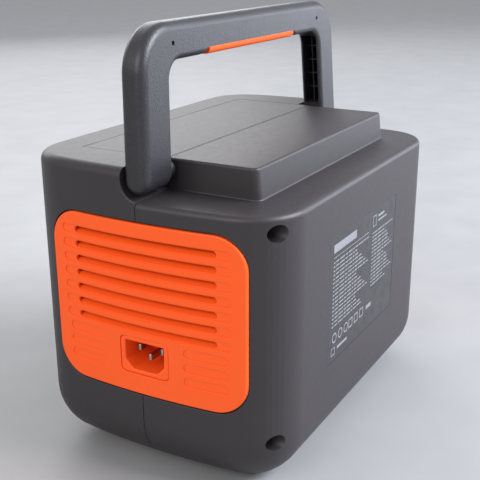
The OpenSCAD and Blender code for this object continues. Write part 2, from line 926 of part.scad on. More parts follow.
module main_board() color(board_green) difference() {
    translate(main_pos) cube(main_size);
    at_standoffs() cylinder(h = 10, r = 1.7, center = true);
}

module heat_sinks() color(steel) for (x = [-76, -16]) translate([x, 44, main_z + 1.65]) {
    cube([52, 3, 34]);
    for (i = [0:7]) translate([2 + i * 6.6, 2.9, 0]) cube([1.4, 12, 34]);
}

// A closed core with the winding standing out of its window on both sides
module transformer() color("#8a7a50") translate([44, -6, main_z + 1.65]) {
    cube([34, 30, 32]);
    translate([7, -4, 6]) cube([20, 38, 20]);
}

module capacitors() color("#20242c")
    for (p = [[-70, 4], [-50, 4], [-30, 4], [-70, 24], [-50, 24]])
        translate([p[0], p[1], main_z + 1.65]) cylinder(h = 30, r = 8);

module inductor() color(copper) translate([0, 12, main_z + 1.65 + 16]) rotate([90, 0, 0])
    difference() {
        cylinder(h = 13, r = 16, center = true);
        cylinder(h = 14, r = 8, center = true);
    }

module relay() color("#303a60") translate([50, 44, main_z + 1.65]) cube([28, 13, 15]);

module at_standoffs() {
    for (x = standoff_x) for (y = standoff_y) translate([x, y, main_z]) children();
}

// At the left they stand on a cell holder, at the right on the housing's two tall posts
module board_standoffs() color(steel) at_standoffs() difference() {
    translate([0, 0, -standoff_h]) cylinder(h = standoff_h - 0.05, r = 3);
    translate([0, 0, -standoff_h + 1]) cylinder(h = standoff_h, r = 1.5);
}

module board_screws() color(steel) at_standoffs() {
    translate([0, 0, -3]) cylinder(h = 5, r = 1.45);
    translate([0, 0, 1.65]) cylinder(h = 1.8, r = 2.8);
}

// ---------- fan ----------

module at_fan() {
    translate([0, fan_y, fan_z]) children();
}

module fan_frame() color(black) at_fan() {
    difference() {
        along_x(fan_x, fan_x + fan_t) round_rect([fan_size, fan_size], 4);
        rod_x(fan_x - 1, fan_x + fan_t + 1, fan_bore_r);
        at_fan_corners() rod_x(fan_x - 1, fan_x + fan_t + 1, 2.2);
    }
    difference() {
        union() {
            rod_x(fan_x, fan_x + 3, hub_r);
            for (a = [45:90:315]) rotate([a, 0, 0])
                translate([fan_x, -1.5, hub_r - 1]) cube([3, 3, fan_bore_r - hub_r + 2]);
        }
        rod_x(fan_x + 1, fan_x + 4, 1.5 + fit);
    }
}

module at_fan_corners() {
    for (y = [-fan_hole, fan_hole]) for (z = [-fan_hole, fan_hole])
        translate([0, y, z]) children();
}

module fan_rotor() color(black) at_fan() {
    rod_x(fan_x + 3.4, fan_x + fan_t - 1, hub_r);
    rod_x(fan_x + 1.3, fan_x + 5, 1.5);
    intersection() {
        for (i = [0:blade_count - 1]) rotate([360 / blade_count * i, 0, 0])
            translate([fan_x + 9, 0, hub_r - 1]) rotate([0, 0, 50])
                translate([-8, -0.7, 0]) cube([16, 1.4, 20]);
        rod_x(fan_x + 3.4, fan_x + fan_t - 1, fan_rotor_r);
    }
}

module fan_screws() color(steel) at_fan() at_fan_corners() {
    rod_x(fan_x - 5, fan_x + fan_t + 0.05, 1.55);
    rod_x(fan_x + fan_t + 0.05, fan_x + fan_t + 2, 3.4);
}

// ---------- wiring ----------

inlet_back_x = inlet_face_x - inlet_depth - inlet_floor - 6.05;

// Each lead runs back from its blade and then up to the board; p gives its place and its bend
module inlet_leads() color("#7a3020") for (p = [[-7, 2, 8], [7, 2, 14], [0, -2, 11]])
    translate([inlet_back_x - p[2], panel_y + p[0], inlet_z + p[1]]) {
        rod_x(0, p[2], 1.1);
        translate([0, 0, -2]) cylinder(h = main_z - 0.1 - inlet_z - p[1] + 2, r = 1.4);
    }

module battery_leads() color("#b02020") for (y = [30, 38]) translate([24, y, clamp_top + 1.5])
    cylinder(h = main_z - 0.05 - clamp_top - 1.5, r = 2);

// ---------- the pieces ----------

front_shell();
rear_shell();
top_panel();
right_vent_panel();
left_vent_panel();
right_dust_filter();
left_dust_filter();
ac_inlet_body();
ac_inlet_pins();
rating_label();
rubber_feet();
housing_screws();
hinge_pins();
hinge_washers();
handle_frame();
handle_grip();
handle_screws();
front_fascia();
display_lens();
display_module();
power_button();
dc_button();
ac_button();
button_switches();
car_socket();
car_socket_contact();
car_socket_cap();
cap_hinge_pin();
ac_outlet_body();
ac_outlet_contacts();
usb_c_ports();
usb_a_port();
dc_input_jack();
port_board();
battery_cells();
cell_holders();
bus_bars();
battery_clamp();
battery_board();
main_board();
heat_sinks();
transformer();
capacitors();
inductor();
relay();
board_standoffs();
board_screws();
fan_frame();
fan_rotor();
fan_screws();
inlet_leads();
battery_leads();
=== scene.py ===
"""Looks of a portable power station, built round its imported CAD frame.

Lengths in the shape code are in millimetres, in the frame's axes: +X is the mains inlet's end, +Y the
labelled back and +Z up. piece() turns them into metres.
"""

import json
from math import asin, atan2, cos, floor, pi, radians, sin, sqrt, tan

import bmesh
import bpy
from mathutils import Matrix, Vector

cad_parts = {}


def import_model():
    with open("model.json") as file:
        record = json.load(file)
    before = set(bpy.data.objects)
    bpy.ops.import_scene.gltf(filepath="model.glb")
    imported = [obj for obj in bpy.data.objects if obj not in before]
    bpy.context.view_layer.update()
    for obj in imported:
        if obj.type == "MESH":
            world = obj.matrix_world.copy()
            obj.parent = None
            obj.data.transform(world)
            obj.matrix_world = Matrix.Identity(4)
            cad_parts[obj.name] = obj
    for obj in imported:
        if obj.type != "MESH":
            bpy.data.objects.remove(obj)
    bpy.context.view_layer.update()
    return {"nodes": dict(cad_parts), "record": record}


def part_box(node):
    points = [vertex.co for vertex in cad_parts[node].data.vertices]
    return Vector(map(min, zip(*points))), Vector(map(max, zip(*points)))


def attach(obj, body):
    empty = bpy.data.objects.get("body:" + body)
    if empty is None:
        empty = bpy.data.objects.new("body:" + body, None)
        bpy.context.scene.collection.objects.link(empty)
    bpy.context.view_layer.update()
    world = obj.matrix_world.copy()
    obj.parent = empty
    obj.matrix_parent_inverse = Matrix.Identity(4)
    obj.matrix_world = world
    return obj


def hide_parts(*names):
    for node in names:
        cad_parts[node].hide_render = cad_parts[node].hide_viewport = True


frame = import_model()

MM = 0.001


def box_mm(node):
    """Lowest and highest corner of a CAD node, in millimetres."""
    low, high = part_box(node)
    return Vector(low) / MM, Vector(high) / MM


# ---------------- sizes, from the frame where it gives them

shell_low, shell_high = box_mm("front_shell")
HALF_L, HALF_W = shell_high.x, -shell_low.y
BODY_Z, BODY_H = shell_low.z, shell_high.z
OUTSIDE = 9.0  # how far a cutter reaches past the surface it starts from
EDGE_R = 30.0  # upright corners and bottom edges
END_R = 400.0  # plan radius of the bulged ends
WALL = 3.0
TOP_ROUND = 5.0
LEDGE_Z = 150.8
LEDGE_ROUND = 3.2
SEAM = 0.16  # half of the gap between the two shells
SEAM_BEVEL = 0.12
CORNER_Y = HALF_W - EDGE_R
CORNER_X = HALF_L - END_R + sqrt((END_R - EDGE_R) ** 2 - CORNER_Y**2)
END_X = HALF_L - END_R  # where the bulged end's axis crosses X
END_ANGLE = atan2(CORNER_Y, CORNER_X - END_X)

top_low, top_high = box_mm("top_panel")
BLOCK_HALF_L = top_high.x
BLOCK_BACK = 52.4
BLOCK_R = 4.0
BLOCK_ROUND = 1.4
BLOCK_DRAFT = (0.5, 1.6)  # how much narrower and shorter the raised block is at its top
BLOCK_FOOT = 0.8  # radius of the hollow curve at its foot
TOP_PLATE_R, TOP_PLATE_ROUND, TOP_PLATE_GAP = 0.5, 0.35, 0.2

joints = {joint["name"]: joint for joint in frame["record"]["behaviour"]["joints"]}
PIVOT_Z = joints["handle_hinge"]["pos_m"][2] / MM
HANDLE_HALF_L = 114.0  # at the pivot's height
HANDLE_T = 14.4
HANDLE_TOP = 234.1
HANDLE_LEAN = 2.5  # degrees towards the front
ARM_SLANT = 4.0  # degrees inwards
ARM_W = 24.0
BAR_H = 19.0
HANDLE_OUTER_R = 25.0
HANDLE_INNER_R = 10.0
OUTER_ROUND, INNER_ROUND = 5.0, 3.4  # edge roundings of the handle's section
GRIP_L, GRIP_T, GRIP_DROP = 99.0, 3.4, 0.3
NOTCH_SLOPE = 2.0
HANDLE_SCREW, HANDLE_SCREW_R, HANDLE_SCREW_DEPTH = (83.5, 223.6), 1.2, 2.0
BORE_R, ARM_BORE_R, WASHER_R = 4.05, 4.06, 5.0  # the bores for the pins in the shells and in the arms
PIN_COVER = 5.7  # what is left of the arm outside the pin
BOSS_R, BOSS_L = 8.0, 12.5
POCKET_Y, POCKET_R = 2.4, 10.8
POCKET_Z = LEDGE_Z + POCKET_R - 0.05

panel_low, panel_high = box_mm("right_vent_panel")
PANEL_Y = (panel_low.y + panel_high.y) / 2
PANEL_Z = (panel_low.z + panel_high.z) / 2
PANEL_SIZE = (panel_high.y - panel_low.y, panel_high.z - panel_low.z)
PANEL_R = 17.0
PANEL_RISE = 0.5
PANEL_SEAT = 1.9
PANEL_GAP = 0.7
PANEL_LIP = 5.0
SLOT = (84.0, 3.6)
SLOT_PITCH = 7.8
SLOT_TOP = 37.0  # first slot above the panel's centre
GROOVE = (100.0, 4.8)
GROOVE_DEPTH = 0.5
GROOVE_RIM, SLOT_RIM = 0.25, 0.35
BLIND_L, BLIND_Y = 25.0, 36.0  # length of a blind groove, and its centre's distance from the panel's
LOUVRE_DEPTH, LOUVRE_T, LOUVRE_SLOPE = 4.2, 1.2, 0.55
RIGHT_SLOTS, RIGHT_BLIND_ROWS, LEFT_SLOTS = 7, 3, 10

label_low, label_high = box_mm("rating_label")
LABEL_FACE = label_high.y - 0.06
LABEL_R, LABEL_EDGE, LABEL_GAP = 1.2, 0.05, 0.12
MARK_SINK, MARK_RISE = 0.02, 0.025  # printed marks reach this far into and out of the film
FASCIA_CENTRE, FASCIA_SIZE, FASCIA_R, FASCIA_HOLE = (0.0, 92.0), (160.0, 104.0), 14.0, 8.0
INLET_Z, INLET_SIZE, INLET_R = 68.7, (29.4, 20.4), 3.0
INLET_FACE_X, INLET_DEPTH, INLET_WALL, INLET_RIM = 114.6, 22.0, 3.0, 0.9
MOUTH_SIZE, MOUTH_CHAMFER = (23.6, 15.6), 4.6
BLADE_SIZE, BLADE_CORNER, BLADE_TIP = (2.0, 4.0), 0.7, 0.8
BLADES = ((-7.0, 2.0, 0.8), (7.0, 2.0, 0.8), (0.0, -2.0, 0.0))  # across, up, and how much shorter
SCREW_X, SCREW_Z, SCREW_R = 99.4, (31.0, 142.0), 4.4
SCREW_WALL, SCREW_FLOOR_Y = 2.0, 37.0

FOOT_R = 12.0
BUTTON_FLANGE, BUTTON_SHOULDER = 1.2, 3.7  # the flange's width, and its depth behind the button's face
BUTTON_STEM_R, BUTTON_STEM_L = 2.0, 0.7
SYMBOL_SINK, SYMBOL_RISE = 0.12, 0.1
CAP_R, CAP_T, CAP_TAB_W = 13.6, 1.9, 9.0
CAP_TOP, CAP_LOW, CAP_HINGE_RISE = 16.4, 15.2, 16.5
CAP_BARREL_R, CAP_BORE_R = 1.1, 0.66


# ---------------- mesh helpers

MERGE, MERGE_CUT, DEGENERATE = 2e-3, 1e-3, 1e-4  # points closer than this count as one
SHARP = 32.0  # degrees; flatter edges are shaded smooth


def arc(cx, cy, r, start, end, steps):
    """Points of an arc, both ends included; angles in radians."""
    return [
        (cx + r * cos(start + (end - start) * i / steps), cy + r * sin(start + (end - start) * i / steps))
        for i in range(steps + 1)
    ]


def fillet(r, steps=4):
    """(inset, depth) pairs of a rounded rim, from the face (r, 0) round to the side (0, r)."""
    return [(r * (1 - sin(pi / 2 * i / steps)), r * (1 - cos(pi / 2 * i / steps))) for i in range(steps + 1)]


def round_rect(w, h, r, steps=8):
    """Outline of a rounded rectangle about the origin, anticlockwise."""
    r = max(r, 1e-3)
    points = []
    for i, (sx, sy) in enumerate(((1, 1), (-1, 1), (-1, -1), (1, -1))):
        points += arc(sx * (w / 2 - r), sy * (h / 2 - r), r, i * pi / 2, (i + 1) * pi / 2, steps)
    return points


def stadium(w, h, steps=5):
    """Outline of a slot with round ends, about the origin."""
    return round_rect(w, h, h / 2 - 1e-3, steps)


def dense(points, step):
    """The same closed outline with its long straight edges divided."""
    result = []
    for i, (x0, y0) in enumerate(points):
        x1, y1 = points[(i + 1) % len(points)]
        parts = max(1, floor(sqrt((x1 - x0) ** 2 + (y1 - y0) ** 2) / step))
        result += [(x0 + (x1 - x0) * j / parts, y0 + (y1 - y0) * j / parts) for j in range(parts)]
    return result


def loft(rings, caps=(True, True), into=None):
    """A mesh over rings of the same number of 3-D points; each ring is a closed loop."""
    bm = into or bmesh.new()
    rows = [[bm.verts.new(p) for p in ring] for ring in rings]
    count = len(rows[0])
    for a, b in zip(rows, rows[1:]):
        for i in range(count):
            j = (i + 1) % count
            bm.faces.new((a[i], a[j], b[j], b[i]))
    for cap, row in zip(caps, (rows[0], rows[-1])):
        if cap:
            bm.faces.new(row)
    if into is None:
        tidy(bm)
    return bm


def tidy(bm):
    """Merges points that coincide and turns every face outwards."""
    bmesh.ops.remove_doubles(bm, verts=bm.verts, dist=MERGE)
    bmesh.ops.dissolve_degenerate(bm, edges=bm.edges, dist=DEGENERATE)
    bmesh.ops.recalc_face_normals(bm, faces=bm.faces)


def block(low, high):
    """A plain box, used as a cutter."""
    (x0, y0, z0), (x1, y1, z1) = low, high
    base = [(x0, y0), (x1, y0), (x1, y1), (x0, y1)]
    return loft([[(x, y, z) for x, y in base] for z in (z0, z1)])


def unit_circle(steps):
    return [(cos(2 * pi * i / steps), sin(2 * pi * i / steps)) for i in range(steps)]


def across(axis, a, b, t):
    """The point at t along an axis, with a and b as the other two coordinates in their own order."""
    return {"x": (t, a, b), "y": (a, t, b), "z": (a, b, t)}[axis]


def rod(axis, centre, r, start, end, steps=40, rim=0.0):
    """A cylinder along X, Y or Z; centre gives the other two coordinates. rim rounds both ends."""
    ends = [(inset, start + depth) for inset, depth in fillet(rim)] if rim else [(0, start)]
    ends += [(inset, end - depth) for inset, depth in reversed(fillet(rim))] if rim else [(0, end)]
    rings = []
    for d, t in ends:
        ring = [(centre[0] + (r - d) * c, centre[1] + (r - d) * s) for c, s in unit_circle(steps)]
        rings.append([across(axis, a, b, t) for a, b in ring])
    return loft(rings)


def prism(axis, outline, start, end):
    """An outline drawn across X, Y or Z, as a prism from start to end."""
    return loft([[across(axis, a, b, t) for a, b in outline] for t in (start, end)])


def into_mesh(name, bm):
    """A mesh datablock made from bm, which is used up."""
    mesh = bpy.data.meshes.new(name)
    bm.to_mesh(mesh)
    bm.free()
    return mesh


def new_object(name, data):
    obj = bpy.data.objects.new(name, data)
    bpy.context.scene.collection.objects.link(obj)
    return obj


def join(*parts):
    """One mesh from several that stay separate inside it."""
    whole = bmesh.new()
    for part in parts:
        mesh = into_mesh("part", part)
        whole.from_mesh(mesh)
        bpy.data.meshes.remove(mesh)
    return whole


def mirrored(bm, axis=0):
    """A mirror image across X (0) or Y (1), with its faces still outwards."""
    scale = [1, 1, 1]
    scale[axis] = -1
    copy = bm.copy()
    bmesh.ops.scale(copy, vec=scale, verts=copy.verts)
    bmesh.ops.reverse_faces(copy, faces=copy.faces)
    return copy


def both_ends(bm):
    """The mesh at +X together with its mirror image at -X."""
    return join(bm.copy(), mirrored(bm))


def boolean(bm, other, operation="DIFFERENCE"):
    """bm with other cut away, added or kept in common. Both meshes are used up."""
    objects = [new_object("boolean", into_mesh("boolean", part)) for part in (bm, other)]
    modifier = objects[0].modifiers.new("boolean", "BOOLEAN")
    modifier.operation = operation
    modifier.solver = "EXACT"
    modifier.object = objects[1]
    evaluated = objects[0].evaluated_get(bpy.context.evaluated_depsgraph_get())
    result = bmesh.new()
    result.from_mesh(evaluated.to_mesh())
    evaluated.to_mesh_clear()
    for obj in objects:
        mesh = obj.data
        bpy.data.objects.remove(obj)
        bpy.data.meshes.remove(mesh)
    bmesh.ops.remove_doubles(result, verts=result.verts, dist=MERGE_CUT)
    bmesh.ops.dissolve_degenerate(result, edges=result.edges, dist=DEGENERATE)
    return result


def half(bm, side, at=SEAM, bevel=SEAM_BEVEL):
    """Keeps what lies on one side (+1 or -1) of the seam, from the distance at, and softens the cut's rim."""
    geometry = bm.verts[:] + bm.edges[:] + bm.faces[:]
    cut = bmesh.ops.bisect_plane(
        bm, geom=geometry, plane_co=(0, side * at, 0), plane_no=(0, -side, 0), clear_outer=True
    )
    edges = [e for e in cut["geom_cut"] if isinstance(e, bmesh.types.BMEdge)]
    bmesh.ops.edgeloop_fill(bm, edges=edges)
    bmesh.ops.recalc_face_normals(bm, faces=bm.faces)
    if bevel:
        bmesh.ops.bevel(bm, geom=edges, offset=bevel, segments=2, profile=0.5, affect="EDGES")
    return bm


def hollow_half(bm, side, overlap=2.0):
    """One side of a hollow, which reaches a little past the seam."""
    return half(bm, side, -overlap, 0)


def in_metres(name, bm, material):
    """An object made from a mesh in millimetres, with its material."""
    bmesh.ops.scale(bm, vec=(MM, MM, MM), verts=bm.verts)
    mesh = into_mesh(name, bm)
    mesh.materials.append(material)
    return new_object(name, mesh)


def piece(name, bm, body, material, nodes=()):
    """A visible piece, smooth up to the sharp angle, on its body and in place of the CAD nodes named."""
    obj = in_metres(name, bm, material)
    obj.data.shade_smooth()
    obj.data.set_sharp_from_angle(angle=radians(SHARP))
    normals = obj.modifiers.new("weighted_normals", "WEIGHTED_NORMAL")
    normals.keep_sharp = True
    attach(obj, body)
    if nodes:
        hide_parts(*nodes)


# ---------------- materials

WAVE_LENGTH = 0.314  # a wave texture's period at a scale of 1


class Nodes:
    """A short way to write a material's node tree."""

    def __init__(self, name):
        self.material = bpy.data.materials.new(name)
        self.material.use_nodes = True
        self.tree = self.material.node_tree
        self.shader = self.tree.nodes["Principled BSDF"]
        self.place = self.tree.nodes.new("ShaderNodeTexCoord").outputs["Object"]

    def feed(self, socket, value):
        """Links another node's output to a socket, or sets a plain value."""
        if isinstance(value, bpy.types.NodeSocket):
            self.tree.links.new(value, socket)
        else:
            socket.default_value = value

    def add(self, kind, inputs=(), **settings):
        node = self.tree.nodes.new("ShaderNode" + kind)
        for key, value in settings.items():
            setattr(node, key, value)
        for key, value in dict(inputs).items():
            self.feed(node.inputs[key], value)
        return node

    def noise(self, size_mm, detail=2.0, roughness=0.5):
        inputs = {"Vector": self.place, "Scale": 1 / (size_mm * MM), "Detail": detail, "Roughness": roughness}
        return self.add("TexNoise", inputs).outputs["Fac"]

    def spread(self, value, low, high, start=0.3, end=0.7):
        """Maps a texture's middle range to low..high."""
        inputs = {"Value": value, "From Min": start, "From Max": end, "To Min": low, "To Max": high}
        return self.add("MapRange", inputs).outputs["Result"]

    def mix(self, factor, a, b):
        """Blends two colours, each a tuple or another node's output."""
        a, b = [(*color, 1) if isinstance(color, tuple) else color for color in (a, b)]
        return self.add("Mix", {"Factor": factor, "A": a, "B": b}, data_type="RGBA").outputs["Result"]

    def bump(self, height, depth_mm, below=None):
        inputs = {"Height": height, "Distance": depth_mm * MM, "Strength": 1.0}
        if below is not None:
            inputs["Normal"] = below
        return self.add("Bump", inputs).outputs["Normal"]

    def drive(self, **sockets):
        """Links or sets the shader's inputs; a key's underscores stand for spaces."""
        for key, value in sockets.items():
            self.feed(self.shader.inputs[key.replace("_", " ")], value)
        return self.material


def shade(color, factor):
    """A darker or lighter version of a colour."""
    return tuple(min(1.0, c * factor) for c in color)


def moulded(name, color, roughness, grain_mm=0.5, depth_mm=0.02, mottle=0.12, specular=0.5):
    """Moulded plastic: a fine eroded grain, faint mottling and slightly uneven gloss."""
    n = Nodes(name)
    fine = n.noise(grain_mm, 3.0, 0.6)
    wide = n.noise(35.0, 2.0)
    base = n.mix(n.spread(wide, 0, 1), shade(color, 1 - mottle), shade(color, 1 + mottle))
    speck = n.mix(n.spread(fine, 0, 1, 0.35, 0.65), shade(color, 1 - mottle), shade(color, 1 + 1.5 * mottle))
    tone = n.mix(0.5, base, speck)
    rough = n.spread(n.noise(4.0, 3.0), roughness - 0.02, roughness + 0.02)
    normal = n.bump(fine, depth_mm)
    return n.drive(Base_Color=tone, Roughness=rough, Normal=normal, Specular_IOR_Level=specular)


def metal(name, color, roughness, line_mm=0.25):
    """Plated or machined metal with fine drawn lines."""
    n = Nodes(name)
    stretch = n.add("Mapping", {"Vector": n.place, "Scale": (1, 1, 0.06)})
    inputs = {"Vector": stretch.outputs["Vector"], "Scale": 1 / (line_mm * MM), "Detail": 3.0}
    lines = n.add("TexNoise", inputs).outputs["Fac"]
    tone = n.mix(n.spread(n.noise(3.0), 0, 1), shade(color, 0.85), shade(color, 1.1))
    rough = n.spread(lines, roughness - 0.08, roughness + 0.08)
    return n.drive(Base_Color=tone, Metallic=1.0, Roughness=rough, Normal=n.bump(lines, 0.004))


def woven(name, color, pitch_mm=0.9):
    """Cloth or mesh: two crossed sets of threads."""
    n = Nodes(name)
    waves = []
    for direction in ("Y", "Z"):
        inputs = {"Vector": n.place, "Scale": WAVE_LENGTH / (pitch_mm * MM)}
        wave = n.add("TexWave", inputs, wave_type="BANDS", bands_direction=direction)
        waves.append(wave.outputs["Fac"])
    cross = n.add("Math", operation="MULTIPLY")
    for i, wave in enumerate(waves):
        n.feed(cross.inputs[i], wave)
    weave = cross.outputs["Value"]
    tone = n.mix(weave, shade(color, 0.4), shade(color, 1.5))
    return n.drive(Base_Color=tone, Roughness=0.85, Normal=n.bump(weave, 0.15))


def circuit_board(name, color):
    """Solder mask over tracks, with pale pads here and there."""
    n = Nodes(name)
    inputs = {"Vector": n.place, "Scale": 1 / (2.4 * MM), "Randomness": 0.35}
    tracks = n.add("TexVoronoi", inputs, feature="DISTANCE_TO_EDGE").outputs["Distance"]
    line = n.spread(tracks, 0, 1, 0.04, 0.09)
    mask = n.mix(line, shade(color, 1.9), color)
    inputs = {"Vector": n.place, "Scale": 1 / (5.0 * MM), "Randomness": 1.0}
    dots = n.add("TexVoronoi", inputs, feature="F1").outputs["Distance"]
    pads = n.spread(dots, 1, 0, 0.12, 0.15)
    tone = n.mix(pads, mask, (0.55, 0.52, 0.42))
    return n.drive(Base_Color=tone, Roughness=0.38, Normal=n.bump(line, 0.03))


def banded(name, color, band, pitch_mm, direction, roughness=0.45, metallic=0.0):
    """Stripes across one axis: turns of wire, a sleeve's bands, or a wound core's layers."""
    n = Nodes(name)
    inputs = {"Vector": n.place, "Scale": WAVE_LENGTH / (pitch_mm * MM), "Distortion": 0.4}
    wave = n.add("TexWave", inputs, wave_type="BANDS", bands_direction=direction).outputs["Fac"]
    tone = n.mix(wave, band, color)
    rough = n.spread(n.noise(2.0), roughness - 0.06, roughness + 0.06)
    return n.drive(Base_Color=tone, Roughness=rough, Metallic=metallic, Normal=n.bump(wave, 0.12))


def film(name, color, roughness):
    """Thin printed film: a smooth surface with a faint orange-peel."""
    n = Nodes(name)
    peel = n.noise(1.6, 2.0)
    tone = n.mix(n.spread(n.noise(20.0), 0, 1), shade(color, 0.92), shade(color, 1.08))
    rough = n.spread(n.noise(6.0), roughness - 0.05, roughness + 0.05)
    return n.drive(Base_Color=tone, Roughness=rough, Normal=n.bump(peel, 0.01))


CHARCOAL = (0.026, 0.0215, 0.0235)
HANDLE_GREY = (0.019, 0.018, 0.0215)
ORANGE = (0.99, 0.108, 0.012)
BLACK = (0.013, 0.013, 0.014)

# moulded(): colour, roughness, the grain's size and depth in mm, mottling, specular level
housing_plastic = moulded("housing_plastic", CHARCOAL, 0.48, 0.45, 0.025, 0.06)
handle_plastic = moulded("handle_plastic", HANDLE_GREY, 0.38, 0.85, 0.17, 0.4)
orange_plastic = moulded("orange_plastic", ORANGE, 0.42, 0.35, 0.006, 0.03, 0.3)
orange_rubber = moulded("orange_rubber", ORANGE, 0.62, 0.5, 0.02, 0.05, 0.3)
black_plastic = moulded("black_plastic", BLACK, 0.42, 0.5, 0.015)
button_plastic = moulded("button_plastic", (0.035, 0.034, 0.036), 0.36, 0.4, 0.008)
foot_rubber = moulded("foot_rubber", (0.016, 0.016, 0.017), 0.75, 0.7, 0.05, 0.2, 0.3)
steel = metal("zinc_steel", (0.52, 0.52, 0.54), 0.36)
dark_steel = metal("black_steel", (0.035, 0.035, 0.037), 0.4)
silver = metal("nickel_plate", (0.42, 0.38, 0.36), 0.36)
brass = metal("brass", (0.66, 0.44, 0.16), 0.32)
aluminium = metal("aluminium", (0.62, 0.63, 0.65), 0.38, 0.5)
label_film_look = film("label_film", (0.017, 0.0165, 0.019), 0.36)
label_ink = film("label_ink", (0.22, 0.22, 0.235), 0.5)
display_glass = film("display_glass", (0.006, 0.007, 0.009), 0.12)
slot_looks = {
    "housing": housing_plastic,
    "orange_plastic": orange_plastic,
    "orange_rubber": orange_rubber,
    "handle_plastic": handle_plastic,
    "black_plastic": black_plastic,
    "button_plastic": button_plastic,
    "foot_rubber": foot_rubber,
    "label_film": label_film_look,
    "display_glass": display_glass,
    "screw_steel": steel,
    "black_steel": dark_steel,
    "contact_metal": silver,
    "contact_brass": brass,
    "heat_sink_metal": aluminium,
    "filter_cloth": woven("filter_cloth", (0.03, 0.03, 0.032)),
    "board": circuit_board("board", (0.008, 0.075, 0.03)),
    "cell_sleeve": banded("cell_sleeve", (0.02, 0.13, 0.42), (0.018, 0.11, 0.36), 9.0, "X", 0.3),
    "capacitor_sleeve": banded("capacitor_sleeve", (0.012, 0.013, 0.022), (0.03, 0.03, 0.05), 12.0, "X", 0.3),
    "transformer_core": banded("transformer_core", (0.10, 0.08, 0.05), (0.33, 0.22, 0.06), 4.0, "Z"),
    "copper_wire": banded("copper_wire", (0.62, 0.25, 0.09), (0.22, 0.07, 0.025), 1.6, "DIAGONAL", 0.3, 1.0),
    "lead_brown": moulded("lead_brown", (0.16, 0.05, 0.03), 0.5),
    "lead_red": moulded("lead_red", (0.5, 0.02, 0.02), 0.5),
}


# ---------------- housing


def plan_outline(inset, end_steps=10, corner_steps=14, flat_steps=8):
    """The housing's outline in plan, inset, anticlockwise from +X."""
    quarter = arc(END_X, 0, END_R - inset, 0, END_ANGLE, end_steps)
    quarter += arc(CORNER_X, CORNER_Y, max(EDGE_R - inset, 0), END_ANGLE, pi / 2, corner_steps)[1:]
    quarter += [(CORNER_X * (1 - i / flat_steps), HALF_W - inset) for i in range(1, flat_steps + 1)]
    top = quarter + [(-x, y) for x, y in reversed(quarter[:-1])]
    return top + [(x, -y) for x, y in reversed(top[1:-1])]


def housing_solid(top_z, top_round, inset=0.0):
    """The rounded housing as one closed mesh, up to top_z."""
    r = EDGE_R - inset
    steps = 12
    rings = []
    for i in range(steps + 1):
        a = pi / 2 * i / steps
        rings.append((inset + r * (1 - sin(a)), BODY_Z + EDGE_R - r * cos(a)))
    rings += [(inset + d, top_z - inset - z) for d, z in reversed(fillet(top_round, 6))]
    return loft([[(x, y, z) for x, y in plan_outline(d)] for d, z in rings])


def end_surface(y, depth):
    """X of the surface that lies a depth inside the bulged +X end."""
    return END_X + sqrt((END_R - depth) ** 2 - y * y)


def bent_cutter(outline, profile, inner_x):
    """A cutter into the +X end whose rim follows the bulge.

    outline(offset) gives Y-Z points; profile lists (offset, depth) from the surface inwards."""
    rings = [[(HALF_L + OUTSIDE, y, z) for y, z in outline(profile[0][0])]]
    rings += [[(end_surface(y, d), y, z) for y, z in outline(o)] for o, d in profile]
    rings += [[(inner_x, y, z) for y, z in outline(profile[-1][0])]]
    return loft(rings)


def panel_outline(offset):
    """The vent panel's outline, grown by offset, as Y-Z points."""
    w, h = PANEL_SIZE[0] + 2 * offset, PANEL_SIZE[1] + 2 * offset
    return [(PANEL_Y + y, PANEL_Z + z) for y, z in dense(round_rect(w, h, PANEL_R + offset, 10), 5.0)]


def panel_recess():
    """The vent panel's seat and the opening behind it, with a rounded rim."""
    rim = [(PANEL_GAP + inset, depth) for inset, depth in fillet(0.5)]
    return bent_cutter(panel_outline, rim + [(PANEL_GAP, PANEL_SEAT), (-PANEL_LIP, PANEL_SEAT)], HALF_L - 20)


def pocket_cutter():
    """The notch beside the raised block in which the handle's arm turns; its mouth is flared."""

    def outline(offset):
        r = POCKET_R + offset
        low = arc(POCKET_Y, POCKET_Z, r, pi, 2 * pi, 24)
        return low + [(POCKET_Y + r, BODY_H + OUTSIDE), (POCKET_Y - r, BODY_H + OUTSIDE)]

    rim = fillet(0.8)
    rings = [[(HALF_L + OUTSIDE, y, z) for y, z in outline(rim[0][0])]]
    rings += [[(end_surface(y, d), y, z) for y, z in outline(o)] for o, d in rim]
    rings += [[(BLOCK_HALF_L, y, z) for y, z in outline(0)]]
    return loft(rings)


def corner_surface(x, z):
    """Y of the rounded back corner's surface."""
    drop = min(z - BODY_Z - EDGE_R, 0)
    return CORNER_Y + sqrt(EDGE_R**2 - (x - CORNER_X) ** 2 - drop**2)


def screw_cutter(z):
    """A deep round hole into the back corner, with a soft rim where it leaves the curved surface."""
    circle = unit_circle(36)

    def ring(grown):
        return [(SCREW_X + (SCREW_R + grown) * c, z + (SCREW_R + grown) * s) for c, s in circle]

    rings = [[(x, HALF_W + OUTSIDE, v) for x, v in ring(0.2)]]
    for grown, depth in ((0.2, -0.02), (0.06, 0.06), (0, 0.2)):
        rings.append([(x, corner_surface(x, v) - depth, v) for x, v in ring(grown)])
    rings.append([(x, SCREW_FLOOR_Y, v) for x, v in ring(0)])
    return loft(rings)


def hinge_boss():
    """What the shells are left solid for round a hinge pin."""
    return rod("x", (0, PIVOT_Z), BOSS_R, BLOCK_HALF_L - BOSS_L, BLOCK_HALF_L - 1)


def hinge_bore():
    """The pin's bore through the boss, as a cutter."""
    return rod("x", (0, PIVOT_Z), BORE_R, BLOCK_HALF_L - BOSS_L - WALL - 0.5, BLOCK_HALF_L + 1)


